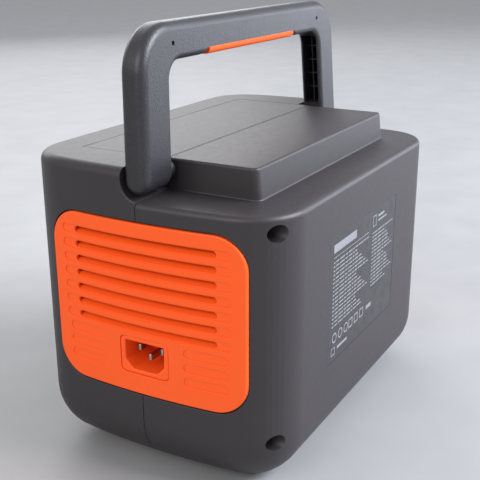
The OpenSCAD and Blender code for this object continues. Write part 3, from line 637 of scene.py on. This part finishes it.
def front_shell():
    """The front half of the housing, up to the top's full height."""
    inner = hollow_half(housing_solid(BODY_H, TOP_ROUND, WALL), -1)
    low = (BLOCK_HALF_L - WALL, -POCKET_R - WALL, LEDGE_Z - WALL)
    high = (HALF_L + OUTSIDE, OUTSIDE, BODY_H + OUTSIDE)
    for post in (block(low, high), hinge_boss()):
        inner = boolean(inner, both_ends(post))
    shell = half(housing_solid(BODY_H, TOP_ROUND), -1)
    shell = boolean(shell, inner)
    for cutter in (pocket_cutter(), panel_recess(), hinge_bore()):
        shell = boolean(shell, both_ends(cutter))
    gap = Vector((TOP_PLATE_GAP, TOP_PLATE_GAP, 0))
    shell = boolean(shell, block(top_low - gap, top_high + gap + Vector((0, 0, OUTSIDE))))
    return boolean(shell, front_opening(0.5))


def rect_outline(centre, size, r, steps=8):
    """A rounded rectangle's outline as a function of how much it is grown."""

    def outline(offset):
        w, h = size[0] + 2 * offset, size[1] + 2 * offset
        return [(centre[0] + x, centre[1] + z) for x, z in round_rect(w, h, r + offset, steps)]

    return outline


def front_opening(rim):
    """The cutter for the front panel's opening, with a rounded rim."""
    outline = rect_outline(FASCIA_CENTRE, FASCIA_SIZE, FASCIA_R)
    stations = [(rim, -3.0)] + fillet(rim) + [(0.0, FASCIA_HOLE)]
    return loft([[(x, t - HALF_W, z) for x, z in outline(o)] for o, t in stations])


def raised_block(inset):
    """The raised block, whole on both sides of the seam: hollow curve at the foot, draft, soft top edges."""
    dx, dy = BLOCK_DRAFT
    rings = [(-BLOCK_FOOT, -BLOCK_FOOT, LEDGE_Z - WALL - 2 * inset)]
    rings += [(-d, -d, LEDGE_Z - 0.02 + z) for d, z in fillet(BLOCK_FOOT)]
    rings += [(d + dx, d + dy, BODY_H - inset - z) for d, z in reversed(fillet(BLOCK_ROUND))]
    w, h = 2 * (BLOCK_HALF_L - inset), 2 * (BLOCK_BACK - inset)
    return loft(
        [[(x, y, z) for x, y in round_rect(w - 2 * i, h - 2 * j, BLOCK_R - i, 8)] for i, j, z in rings]
    )


def rear_shell():
    """The back half: ledge, raised block, deep screw holes and the label's seat."""
    inner = hollow_half(housing_solid(LEDGE_Z, LEDGE_ROUND, WALL), 1)
    inner = boolean(inner, hollow_half(raised_block(WALL), 1), "UNION")
    sleeves = [rod("y", (SCREW_X, z), SCREW_R + SCREW_WALL, 0.5, HALF_W) for z in SCREW_Z]
    for post in [hinge_boss()] + sleeves:
        inner = boolean(inner, both_ends(post))
    shell = half(housing_solid(LEDGE_Z, LEDGE_ROUND), 1)
    shell = boolean(shell, half(raised_block(0.0), 1), "UNION")
    shell = boolean(shell, inner)
    for cutter in [panel_recess(), hinge_bore()] + [screw_cutter(z) for z in SCREW_Z]:
        shell = boolean(shell, both_ends(cutter))
    gap = Vector((LABEL_GAP, 0, LABEL_GAP))
    return boolean(shell, block(label_low - gap, label_high + gap + Vector((0, 1, 0))))


def top_plate():
    """The plate inlaid in the front half of the top."""
    w, d = top_high.x - top_low.x, top_high.y - top_low.y
    cy = (top_high.y + top_low.y) / 2
    stations = [(0, top_low.z)] + [(o, top_high.z - z) for o, z in reversed(fillet(TOP_PLATE_ROUND, 3))]
    rings = []
    for o, z in stations:
        outline = round_rect(w - 2 * o, d - 2 * o, TOP_PLATE_R, 3)
        rings.append([(x, cy + y, z) for x, y in outline])
    return loft(rings)


piece("front_shell_skin", front_shell(), "housing", housing_plastic, ["front_shell"])
piece("rear_shell_skin", rear_shell(), "housing", housing_plastic, ["rear_shell"])
piece("top_plate_skin", top_plate(), "housing", housing_plastic, ["top_panel"])


# ---------------- vent panels


def flat_cutter(outline, face, depth, rim):
    """A cutter into the flat panel: depth runs along +X there, away from the viewer; face is its start."""
    stations = [(rim, face - 3.0)] + [(o, face + d) for o, d in fillet(rim)] + [(0.0, depth)]
    return loft([[(w, y, z) for y, z in outline(o)] for o, w in stations])


def slot_outline(centre, size):
    """A round-ended slot's outline as a function of how much it is grown."""

    def outline(offset):
        points = stadium(size[0] + 2 * offset, size[1] + 2 * offset)
        return [(centre[0] + y, centre[1] + z) for y, z in points]

    return outline


def louvre(z, start):
    """The ramp in and behind a slot whose lower edge is at z; it climbs inwards from the depth start."""
    end = PANEL_SEAT + LOUVRE_DEPTH
    climb = (end - start) * LOUVRE_SLOPE
    profile = [(start, z - 0.1), (start + 0.25, z + 0.1), (end, z + climb)]
    profile += [(end, z + climb - 2 * LOUVRE_T), (PANEL_SEAT + LOUVRE_T, z - LOUVRE_T)]
    profile += [(PANEL_SEAT - 0.3, z - LOUVRE_T)]
    half_l = SLOT[0] / 2 + 1
    return loft([[(depth, y, v) for depth, v in profile] for y in (-half_l, half_l)])


def vent_panel(count, blind_rows, inlet):
    """A vent panel, made flat and then bent to the end's bulge. X is the depth from the housing's surface."""
    face = -PANEL_RISE
    rim = 0.9
    rings = [(d, face + t) for d, t in fillet(rim, 5)] + [(0, PANEL_SEAT)]
    width, height = PANEL_SIZE
    panel = loft(
        [[(w, y, z) for y, z in round_rect(width - 2 * d, height - 2 * d, PANEL_R - d, 12)] for d, w in rings]
    )
    groove_floor, through = face + GROOVE_DEPTH, PANEL_SEAT + 1
    for i in range(count):
        z = SLOT_TOP - SLOT_PITCH * i
        panel = boolean(panel, flat_cutter(slot_outline((0, z), GROOVE), face, groove_floor, GROOVE_RIM))
        panel = boolean(panel, flat_cutter(slot_outline((0, z), SLOT), groove_floor, through, SLOT_RIM))
    for i in range(blind_rows):
        z = SLOT_TOP - SLOT_PITCH * (count + i)
        for side in (-1, 1):
            outline = slot_outline((side * BLIND_Y, z), (BLIND_L, GROOVE[1]))
            panel = boolean(panel, flat_cutter(outline, face, groove_floor, GROOVE_RIM))
    if inlet:
        outline = rect_outline((0, INLET_Z - PANEL_Z), (INLET_SIZE[0] + 0.2, INLET_SIZE[1] + 0.2), INLET_R)
        panel = boolean(panel, flat_cutter(outline, face, through, SLOT_RIM))
    ramps = [louvre(SLOT_TOP - SLOT_PITCH * i - SLOT[1] / 2, groove_floor + 0.2) for i in range(count)]
    panel = join(panel, *ramps)
    return bend(panel)


def bend(bm):
    """Cuts the flat panel into strips along Y and lays it on the bulged end."""
    step = 3.0
    reach = PANEL_SIZE[0] / 2
    for i in range(1, int(2 * reach / step)):
        geometry = bm.verts[:] + bm.edges[:] + bm.faces[:]
        bmesh.ops.bisect_plane(bm, geom=geometry, plane_co=(0, -reach + i * step, 0), plane_no=(0, 1, 0))
    for v in bm.verts:
        y, z = v.co.y + PANEL_Y, v.co.z + PANEL_Z
        v.co = (end_surface(y, v.co.x), y, z)
    bmesh.ops.reverse_faces(bm, faces=bm.faces)
    return bm


def mouth_outline(offset, steps=4):
    """The inlet's mouth with its two lower corners cut off and every corner rounded."""
    w, h, c = MOUTH_SIZE[0] / 2 + offset, MOUTH_SIZE[1] / 2 + offset, MOUTH_CHAMFER + offset * 0.6
    corners = [(w, h), (-w, h), (-w, c - h), (c - w, -h), (w - c, -h), (w, c - h)]
    return [(PANEL_Y + y, INLET_Z + z) for y, z in rounded(corners, 0.8 + max(offset, 0), steps)]


def rounded(corners, r, steps):
    """A closed outline with every corner rounded; r is cut to what the sides leave."""
    points = []
    for i, corner in enumerate(corners):
        here = Vector(corner)
        back = Vector(corners[i - 1]) - here
        ahead = Vector(corners[(i + 1) % len(corners)]) - here
        reach = min(r, back.length / 2.2, ahead.length / 2.2)
        start, end = here + back.normalized() * reach, here + ahead.normalized() * reach
        for k in range(steps + 1):
            t = k / steps
            point = start * (1 - t) ** 2 + here * (2 * t * (1 - t)) + end * t**2
            points.append((point.x, point.y))
    return points


def inlet_body():
    """The socket's orange body: a soft outer edge, a flared mouth and a deep well."""
    outline = rect_outline((PANEL_Y, INLET_Z), INLET_SIZE, INLET_R)
    rim = fillet(INLET_RIM)
    rings = [[(INLET_FACE_X - INLET_DEPTH - INLET_WALL, y, z) for y, z in outline(0)]]
    rings += [[(INLET_FACE_X - t, y, z) for y, z in outline(-d)] for d, t in reversed(rim)]
    mouth = [[(INLET_FACE_X + 2, y, z) for y, z in mouth_outline(INLET_RIM)]]
    mouth += [[(INLET_FACE_X - t, y, z) for y, z in mouth_outline(d)] for d, t in rim]
    mouth += [[(INLET_FACE_X - INLET_DEPTH, y, z) for y, z in mouth_outline(-0.3)]]
    return boolean(loft(rings), loft(mouth))


def inlet_pins():
    """Three flat blades with rounded tips; the middle one, the earth, stands out further."""
    cad_low, cad_high = box_mm("ac_inlet_pins")
    width, height = BLADE_SIZE
    pins = []
    for across_y, up, shorter in BLADES:
        end = cad_high.x - shorter
        stations = [(0.0, cad_low.x)] + [(d, end - depth) for d, depth in reversed(fillet(BLADE_TIP))]
        rings = []
        for d, x in stations:
            outline = round_rect(width - 2 * d, height - 2 * d, BLADE_CORNER - d * 0.8, 4)
            rings.append([(x, PANEL_Y + across_y + y, INLET_Z + up + z) for y, z in outline])
        pins.append(loft(rings))
    return join(*pins)


right_vent = vent_panel(RIGHT_SLOTS, RIGHT_BLIND_ROWS, True)
left_vent = mirrored(vent_panel(LEFT_SLOTS, 0, False))
piece("right_vent_skin", right_vent, "housing", orange_plastic, ["right_vent_panel"])
piece("left_vent_skin", left_vent, "housing", orange_plastic, ["left_vent_panel"])
piece("inlet_body_skin", inlet_body(), "housing", orange_plastic, ["ac_inlet_body"])
piece("inlet_pins_skin", inlet_pins(), "housing", silver, ["ac_inlet_pins"])


# ---------------- label and feet


def label_film():
    """The label's thin film, with a fine bevel round its face."""
    size = (label_high.x - label_low.x, label_high.z - label_low.z)
    centre = ((label_high.x + label_low.x) / 2, (label_high.z + label_low.z) / 2)
    outline = rect_outline(centre, size, LABEL_R)
    stations = [(0, label_low.y), (0, LABEL_FACE - LABEL_EDGE), (-LABEL_EDGE, LABEL_FACE)]
    return loft([[(x, y, z) for x, z in outline(o)] for o, y in stations])


def mark(u, v, w, h):
    """A flat pale bar; u runs from the label's reading edge, v down from its top."""
    x, z = label_high.x - u, label_high.z - v
    return block((x - w, LABEL_FACE - MARK_SINK, z - h), (x, LABEL_FACE + MARK_RISE, z))


def frame_mark(u, v, w, h, line=0.5):
    """An empty box drawn with four bars."""
    bars = [mark(u, v, w, line), mark(u, v + h - line, w, line)]
    return bars + [mark(u, v + line, line, h - 2 * line), mark(u + w - line, v + line, line, h - 2 * line)]


def ring_mark(u, v, r, line=0.8):
    centre = (label_high.x - u, label_high.z - v)
    disc = rod("y", centre, r, LABEL_FACE - MARK_SINK, LABEL_FACE + MARK_RISE, 24)
    return [boolean(disc, rod("y", centre, r - line, LABEL_FACE - 1, LABEL_FACE + 1, 24))]


def text_rows(u, v, width, count, pitch=2.3, height=0.75):
    """Rows of broken bars where the printed lines would be; their lengths follow a fixed pattern."""
    marks = []
    for row in range(count):
        at, k = u, row
        row_end = u + width * (1 - 0.07 * (row * 5 % 6))
        while at < row_end - 2:
            length = min(2.2 + (k * 7 + row * 3) % 5 * 1.1, row_end - at)
            marks.append(mark(at, v + row * pitch, length, height))
            at += length + 0.9
            k += 1
    return marks


def label_marks():
    """Plain printed marks: a heading bar, two columns of rows and simple symbols."""
    marks = [mark(4, 4.5, 31, 4.6), mark(4, 11.5, 50, 0.35)]
    marks += text_rows(4, 14, 50, 17)
    marks += text_rows(60, 14, 33, 15)
    marks += frame_mark(60, 4, 5.5, 6.5) + [mark(68, 5, 10, 1.4), mark(68, 8, 14, 1.0)]
    for i in range(3):
        marks += ring_mark(8 + i * 8, 58.5, 3.0)
        marks += frame_mark(28 + i * 8, 55.5, 5.6, 5.6, 0.8)
    marks += frame_mark(4, 64, 5, 4.5) + [mark(12, 65, 14, 1.6), mark(54, 57, 8, 2.4)]
    return join(*marks)


def feet():
    cad_low, cad_high = box_mm("rubber_feet")
    x, y = cad_high.x - FOOT_R, cad_high.y - FOOT_R
    centres = [(sx * x, sy * y) for sx in (-1, 1) for sy in (-1, 1)]
    return join(*[rod("z", centre, FOOT_R, cad_low.z, cad_high.z, 40, 0.5) for centre in centres])


piece("label_film_skin", label_film(), "housing", label_film_look, ["rating_label"])
piece("label_marks", label_marks(), "housing", label_ink)
piece("feet_skin", feet(), "housing", foot_rubber, ["rubber_feet"])


# ---------------- handle


def section(r, steps=7):
    """One rounded side of the handle's section: (inset, y) from the face at -Y to the face at +Y."""
    low = [(d, t - HANDLE_T / 2) for d, t in fillet(r, steps)]
    return low + [(d, -y) for d, y in reversed(low)]


def arch(half_l, top, r, steps=16):
    """The right-hand half of a slanted arch, upwards from the pivot: X-Z points and outward directions."""
    slant = radians(ARM_SLANT)
    centre_z = top - r
    centre_x = half_l - (r + (centre_z - PIVOT_Z) * sin(slant)) / cos(slant)
    out = (cos(slant), sin(slant))
    end_z = centre_z + r * sin(slant)
    stations = []
    for i in range(4):
        z = PIVOT_Z + (end_z - PIVOT_Z) * i / 4
        stations.append(((half_l - (z - PIVOT_Z) * tan(slant), z), out if i else (1, 0)))
    for i in range(steps + 1):
        a = slant + (pi / 2 - slant) * i / steps
        stations.append(((centre_x + r * cos(a), centre_z + r * sin(a)), (cos(a), sin(a))))
    for i in range(1, 5):
        stations.append(((centre_x * (1 - i / 4), top), (0, 1)))
    return stations


def handle_blank():
    """Arms, corners and bar as one loft along the path of the U, before anything is cut."""
    outer_rim, inner_rim = section(OUTER_ROUND), section(INNER_ROUND)
    outer = arch(HANDLE_HALF_L, HANDLE_TOP, HANDLE_OUTER_R)
    inner = arch(HANDLE_HALF_L - ARM_W, HANDLE_TOP - BAR_H, HANDLE_INNER_R)
    rings = []
    for (o, n), (i, m) in zip(outer, inner):
        ring = [(o[0] - n[0] * d, y, o[1] - n[1] * d) for d, y in outer_rim]
        ring += [(i[0] + m[0] * d, y, i[1] + m[1] * d) for d, y in reversed(inner_rim)]
        rings.append(ring)
    rings += [[(-x, y, z) for x, y, z in ring] for ring in reversed(rings[:-1])]
    bm = bmesh.new()
    loft(rings, (False, False), bm)
    for side in (-1, 1):
        arm_end(bm, side, outer_rim, inner_rim)
    tidy(bm)
    return bm


def arm_end(bm, side, outer_rim, inner_rim, turn_steps=20):
    """Closes an arm's lower end with a half turn of its section about the pivot."""
    half_rim = len(outer_rim) // 2
    profile = [(HANDLE_HALF_L - d, y) for d, y in outer_rim[half_rim:]]
    profile += [(HANDLE_HALF_L - ARM_W + d, y) for d, y in reversed(inner_rim[half_rim:])]
    slope = tan(radians(ARM_SLANT))
    rows = []
    for i in range(turn_steps + 1):
        a = pi * i / turn_steps
        row = [(side * (x + r * sin(a) * slope), r * cos(a), PIVOT_Z - r * sin(a)) for x, r in profile]
        rows.append([bm.verts.new(p) for p in row])
    for a, b in zip(rows, rows[1:]):
        for i in range(len(profile) - 1):
            bm.faces.new((a[i], a[i + 1], b[i + 1], b[i]))
    for column in (0, -1):
        bm.faces.new([row[column] for row in rows])


def arm_recess():
    """The ribbed hollow in the inner face of the right-hand arm, as a cutter."""
    wall, depth, rib, sink, pitch = 2.2, 17.0, 0.8, 8.0, 9.0
    low, high = 7.0, HANDLE_TOP - BAR_H - PIVOT_Z - 2.5
    w = HANDLE_T - 2 * wall
    outline = round_rect(w, high - low, 1.6, 4)
    hollow = prism("x", [(y, z + (low + high) / 2) for y, z in outline], -HANDLE_INNER_R, depth)
    for i in range(1, floor((high - low - pitch / 2) / pitch) + 1):
        z = low + pitch * i
        hollow = boolean(hollow, block((sink, -w, z), (depth + 1, w, z + rib)))
    for side in (-1, 1):
        y = side * w / 6
        hollow = boolean(hollow, block((sink, y - rib / 2, low - 1), (depth + 1, y + rib / 2, high + 1)))
    turn = Matrix.Rotation(radians(-ARM_SLANT), 4, "Y")
    place = Matrix.Translation((HANDLE_HALF_L - ARM_W, 0, PIVOT_Z)) @ turn
    bmesh.ops.transform(hollow, matrix=place, verts=hollow.verts)
    return hollow


def lean(bm):
    """Tilts the upright handle about its pivot towards the front."""
    turn = Matrix.Rotation(radians(HANDLE_LEAN), 3, "X")
    bmesh.ops.rotate(bm, cent=(0, 0, PIVOT_Z), matrix=turn, verts=bm.verts)
    return bm


def washers():
    """The two friction washers between the block's sides and the arms."""
    high = box_mm("hinge_washers")[1]
    ring = rod("x", (0, PIVOT_Z), WASHER_R, BLOCK_HALF_L + 0.1, high.x, 40, 0.4)
    return both_ends(boolean(ring, rod("x", (0, PIVOT_Z), BORE_R, BLOCK_HALF_L - 1, high.x + 1)))


def handle_frame():
    """The handle with its arms' hollows, the pins' holes, the grip's notch and the screw holes."""
    bm = handle_blank()
    bm = boolean(bm, both_ends(arm_recess()))
    start, end = HANDLE_HALF_L - ARM_W - 3, HANDLE_HALF_L - PIN_COVER
    pin_hole = rod("x", (0, PIVOT_Z), ARM_BORE_R, start, end)
    bm = boolean(bm, both_ends(pin_hole))
    under = HANDLE_TOP - BAR_H
    half_l, reach = GRIP_L / 2 + 0.4, 1.0
    low_l = half_l + (GRIP_T + reach) * NOTCH_SLOPE
    notch = [(-low_l, under - reach), (low_l, under - reach)]
    notch += [(half_l, under + GRIP_T), (-half_l, under + GRIP_T)]
    bm = boolean(bm, prism("y", notch, -HANDLE_T, HANDLE_T))
    screw_hole = rod("y", HANDLE_SCREW, HANDLE_SCREW_R, HANDLE_T / 2 - HANDLE_SCREW_DEPTH, HANDLE_T, 20)
    return lean(boolean(bm, both_ends(screw_hole)))


def handle_grip():
    """The soft strip let into the bar's underside; its lower edges follow the bar's rounding."""
    low, high = HANDLE_TOP - BAR_H - GRIP_DROP, HANDLE_TOP - BAR_H + GRIP_T - 0.05
    half_t, r = HANDLE_T / 2 - 0.1, INNER_ROUND - 0.3
    section_points = [(half_t, high), (-half_t, high)]
    section_points += arc(r - half_t, low + r, r, pi, 1.5 * pi, 6)
    section_points += arc(half_t - r, low + r, r, 1.5 * pi, 2 * pi, 6)
    rim = fillet(0.5, 3)
    middle = (low + high) / 2
    ends = [(GRIP_L / 2 - depth, inset) for inset, depth in rim]
    ends += [(depth - GRIP_L / 2, inset) for inset, depth in reversed(rim)]
    rings = []
    for x, inset in ends:
        scale_y, scale_z = 1 - inset / half_t, 1 - inset / (middle - low)
        rings.append([(x, y * scale_y, middle + (z - middle) * scale_z) for y, z in section_points])
    return lean(loft(rings))


# The washers are real parts, but their near-black also stands in for the shade in the narrow gap between the
# block and each arm: painted shade.
piece("washers_skin", washers(), "housing", black_plastic, ["hinge_washers"])
piece("handle_skin", handle_frame(), "handle", handle_plastic, ["handle_frame"])
piece("handle_grip_skin", handle_grip(), "handle", orange_rubber, ["handle_grip"])


# ---------------- front panel


def turned(centre, profile, steps=48):
    """A solid of revolution about an axis along Y; profile lists (radius, y) from one end to the other."""
    circle = unit_circle(steps)
    return loft([[(centre[0] + r * c, y, centre[1] + r * s) for c, s in circle] for r, y in profile])


def button(node):
    """A push button with a dished, round-edged face, and its flange and stem; also its centre and face."""
    low, high = box_mm(node)
    centre = ((low.x + high.x) / 2, (low.z + high.z) / 2)
    flange_r = (high.x - low.x) / 2
    r = flange_r - BUTTON_FLANGE
    face, shoulder, stem = low.y, low.y + BUTTON_SHOULDER, high.y - BUTTON_STEM_L
    dish = [(0.3, 0.42), (2.4, 0.38), (3.7, 0.2), (r - 0.9, 0.03)]
    profile = [(a, face + depth) for a, depth in dish]
    profile += [(r - inset, face + depth) for inset, depth in fillet(0.55)]
    profile += [(r, shoulder), (flange_r, shoulder), (flange_r, stem)]
    profile += [(BUTTON_STEM_R, stem), (BUTTON_STEM_R, high.y)]
    return turned(centre, profile), centre, face


def bar_mark(centre, y, w, h):
    """A small flat mark standing on a face that looks towards -Y."""
    outline = [(centre[0] + a, centre[1] + b) for a, b in round_rect(w, h, min(w, h) / 2.1, 4)]
    return prism("y", outline, y - SYMBOL_SINK, y + SYMBOL_RISE)


def button_symbol(kind, centre, face):
    """Plain symbols: a broken ring with a bar (0), two bars (1), or a ring with a dot (2)."""
    y = face + 0.4
    x, z = centre
    if kind == 1:
        return join(bar_mark((x, z + 0.7), y, 3.2, 0.55), bar_mark((x, z - 0.7), y, 3.2, 0.55))
    disc = rod("y", centre, 2.1, y - SYMBOL_SINK, y + SYMBOL_RISE, 32)
    ring = boolean(disc, rod("y", centre, 1.55, y - 1, y + 1, 32))
    if kind == 2:
        return join(ring, bar_mark(centre, y, 1.2, 1.2))
    ring = boolean(ring, block((x - 0.8, y - 1, z + 0.5), (x + 0.8, y + 1, z + 3)))
    return join(ring, bar_mark((x, z + 1.5), y, 0.55, 2.0))


def cap_outline(offset, steps=30, corner=1.0):
    """The cap's disc with its hinge tab above and its lifting lip below, about the disc's centre."""
    r, w = CAP_R + offset, CAP_TAB_W / 2 + offset
    open_angle = asin(w / r)
    side, top, low = w - corner, CAP_TOP + offset - corner, corner - CAP_LOW - offset
    points = arc(0, 0, r, open_angle - pi / 2, pi / 2 - open_angle, steps)
    points += arc(side, top, corner, 0, pi / 2, 4)
    points += arc(-side, top, corner, pi / 2, pi, 4)
    points += arc(0, 0, r, pi / 2 + open_angle, 1.5 * pi - open_angle, steps)
    points += arc(-side, low, corner, pi, 1.5 * pi, 4)
    points += arc(side, low, corner, 1.5 * pi, 2 * pi, 4)
    return points


def socket_cap():
    """The 12 V socket's cap with its hinge barrel; its face has a shallow round dish."""
    low, high = box_mm("car_socket_cap")
    centre_x = (low.x + high.x) / 2
    hinge_y, hinge_z = (length / MM for length in joints["cap_hinge"]["pos_m"][1:])
    centre_z = hinge_z - CAP_HINGE_RISE
    face, back = low.y, low.y + CAP_T
    rings = [(-inset, face + depth) for inset, depth in fillet(0.6)] + [(0, back - 0.1), (-0.1, back)]
    cap = loft([[(centre_x + x, y, centre_z + z) for x, z in cap_outline(o)] for o, y in rings])
    dish = [(2.4, -1), (2.4, 0), (2.8, 0.25), (3.2, 0.35)]
    cap = boolean(cap, turned((centre_x, centre_z), [(CAP_R - inset, face + depth) for inset, depth in dish]))
    half_w = CAP_TAB_W / 2
    barrel = rod("x", (hinge_y, hinge_z), CAP_BARREL_R, centre_x - half_w, centre_x + half_w, 28, 0.15)
    cap = boolean(cap, barrel, "UNION")
    bore = rod("x", (hinge_y, hinge_z), CAP_BORE_R, centre_x - CAP_TAB_W, centre_x + CAP_TAB_W, 24)
    return boolean(cap, bore)


for kind, node in enumerate(("power_button", "dc_button", "ac_button")):
    shape, middle, face_y = button(node)
    piece(node + "_skin", shape, node, button_plastic, [node])
    piece(node + "_mark", button_symbol(kind, middle, face_y), node, label_ink)
piece("socket_cap_skin", socket_cap(), "car_socket_cap", foot_rubber, ["car_socket_cap"])


# ---------------- CAD nodes that keep their own meshes

SOFTENED, SOFTENED_FROM = 0.25, 40.0  # the bevel on their edges, and the angle in degrees that gets one


def dress(obj, look):
    """Gives a carried-over node its material and slightly rounded edges."""
    obj.data.materials.clear()
    obj.data.materials.append(look)
    for polygon in obj.data.polygons:
        polygon.material_index = 0
    obj.data.set_sharp_from_angle(angle=radians(SHARP))
    bevel = obj.modifiers.new("soft_edges", "BEVEL")
    bevel.width = SOFTENED * MM
    bevel.segments = 2
    bevel.limit_method = "ANGLE"
    bevel.angle_limit = radians(SOFTENED_FROM)
    bevel.harden_normals = True


slots = {s["node"]: s["material_slot"] for s in frame["record"]["subparts"]}
for name, obj in frame["nodes"].items():
    dress(obj, slot_looks[slots[name]])


# ---------------- floor, lights and camera

FLOOR_R, FLOOR_T = 20000.0, 10.0


def floor_piece():
    """A wide pale table top, slightly mottled."""
    n = Nodes("pale_floor")
    tone = n.mix(n.spread(n.noise(60.0), 0, 1), (0.30, 0.30, 0.305), (0.33, 0.33, 0.332))
    material = n.drive(Base_Color=tone, Roughness=0.55)
    bm = rod("z", (0, 0), FLOOR_R, -FLOOR_T, 0, 96)
    in_metres("floor", bm, material)


def area_light(name, place, target, size, power, color):
    data = bpy.data.lights.new(name, "AREA")
    data.shape = "RECTANGLE"
    data.size, data.size_y = size
    data.energy = power
    data.color = color
    obj = new_object(name, data)
    obj.location = place
    obj.rotation_mode = "QUATERNION"
    obj.rotation_quaternion = (Vector(target) - Vector(place)).to_track_quat("-Z", "Y")


def world(color, strength):
    scene = bpy.context.scene
    scene.world = bpy.data.worlds.new("studio")
    scene.world.use_nodes = True
    background = scene.world.node_tree.nodes["Background"]
    background.inputs["Color"].default_value = (*color, 1)
    background.inputs["Strength"].default_value = strength


def camera():
    """The photograph's viewpoint: from the inlet end and the back, a little above the top."""
    data = bpy.data.cameras.new("camera")
    data.sensor_width = 36.0
    data.lens = 65.2
    data.clip_start = 0.02
    obj = new_object("camera", data)
    place, target, roll = Vector((0.4407, 0.2407, 0.2694)), Vector((-0.0023, -0.0070, 0.0959)), -0.21
    obj.location = place
    obj.rotation_mode = "QUATERNION"
    turn = (target - place).to_track_quat("-Z", "Y")
    obj.rotation_quaternion = turn @ Matrix.Rotation(radians(roll), 3, "Z").to_quaternion()
    bpy.context.scene.camera = obj


floor_piece()
world((0.93, 0.95, 1.0), 0.75)
area_light("window", (-1.2, -1.5, 0.95), (0, 0, 0.12), (1.8, 0.9), 18, (0.97, 0.98, 1.0))
area_light("side", (-0.6, 1.5, 1.25), (0, 0, 0.1), (1.4, 0.8), 80, (0.88, 0.92, 1.0))
area_light("low_window", (-1.8, 1.05, 0.4), (0, 0, 0.15), (1.3, 0.7), 13, (0.82, 0.87, 1.0))
area_light("inlet_end", (1.5, -0.2, 1.0), (0, 0, 0.1), (1.0, 0.8), 12, (1.0, 0.96, 0.93))
camera()
bpy.context.scene.view_settings.view_transform = "Standard"
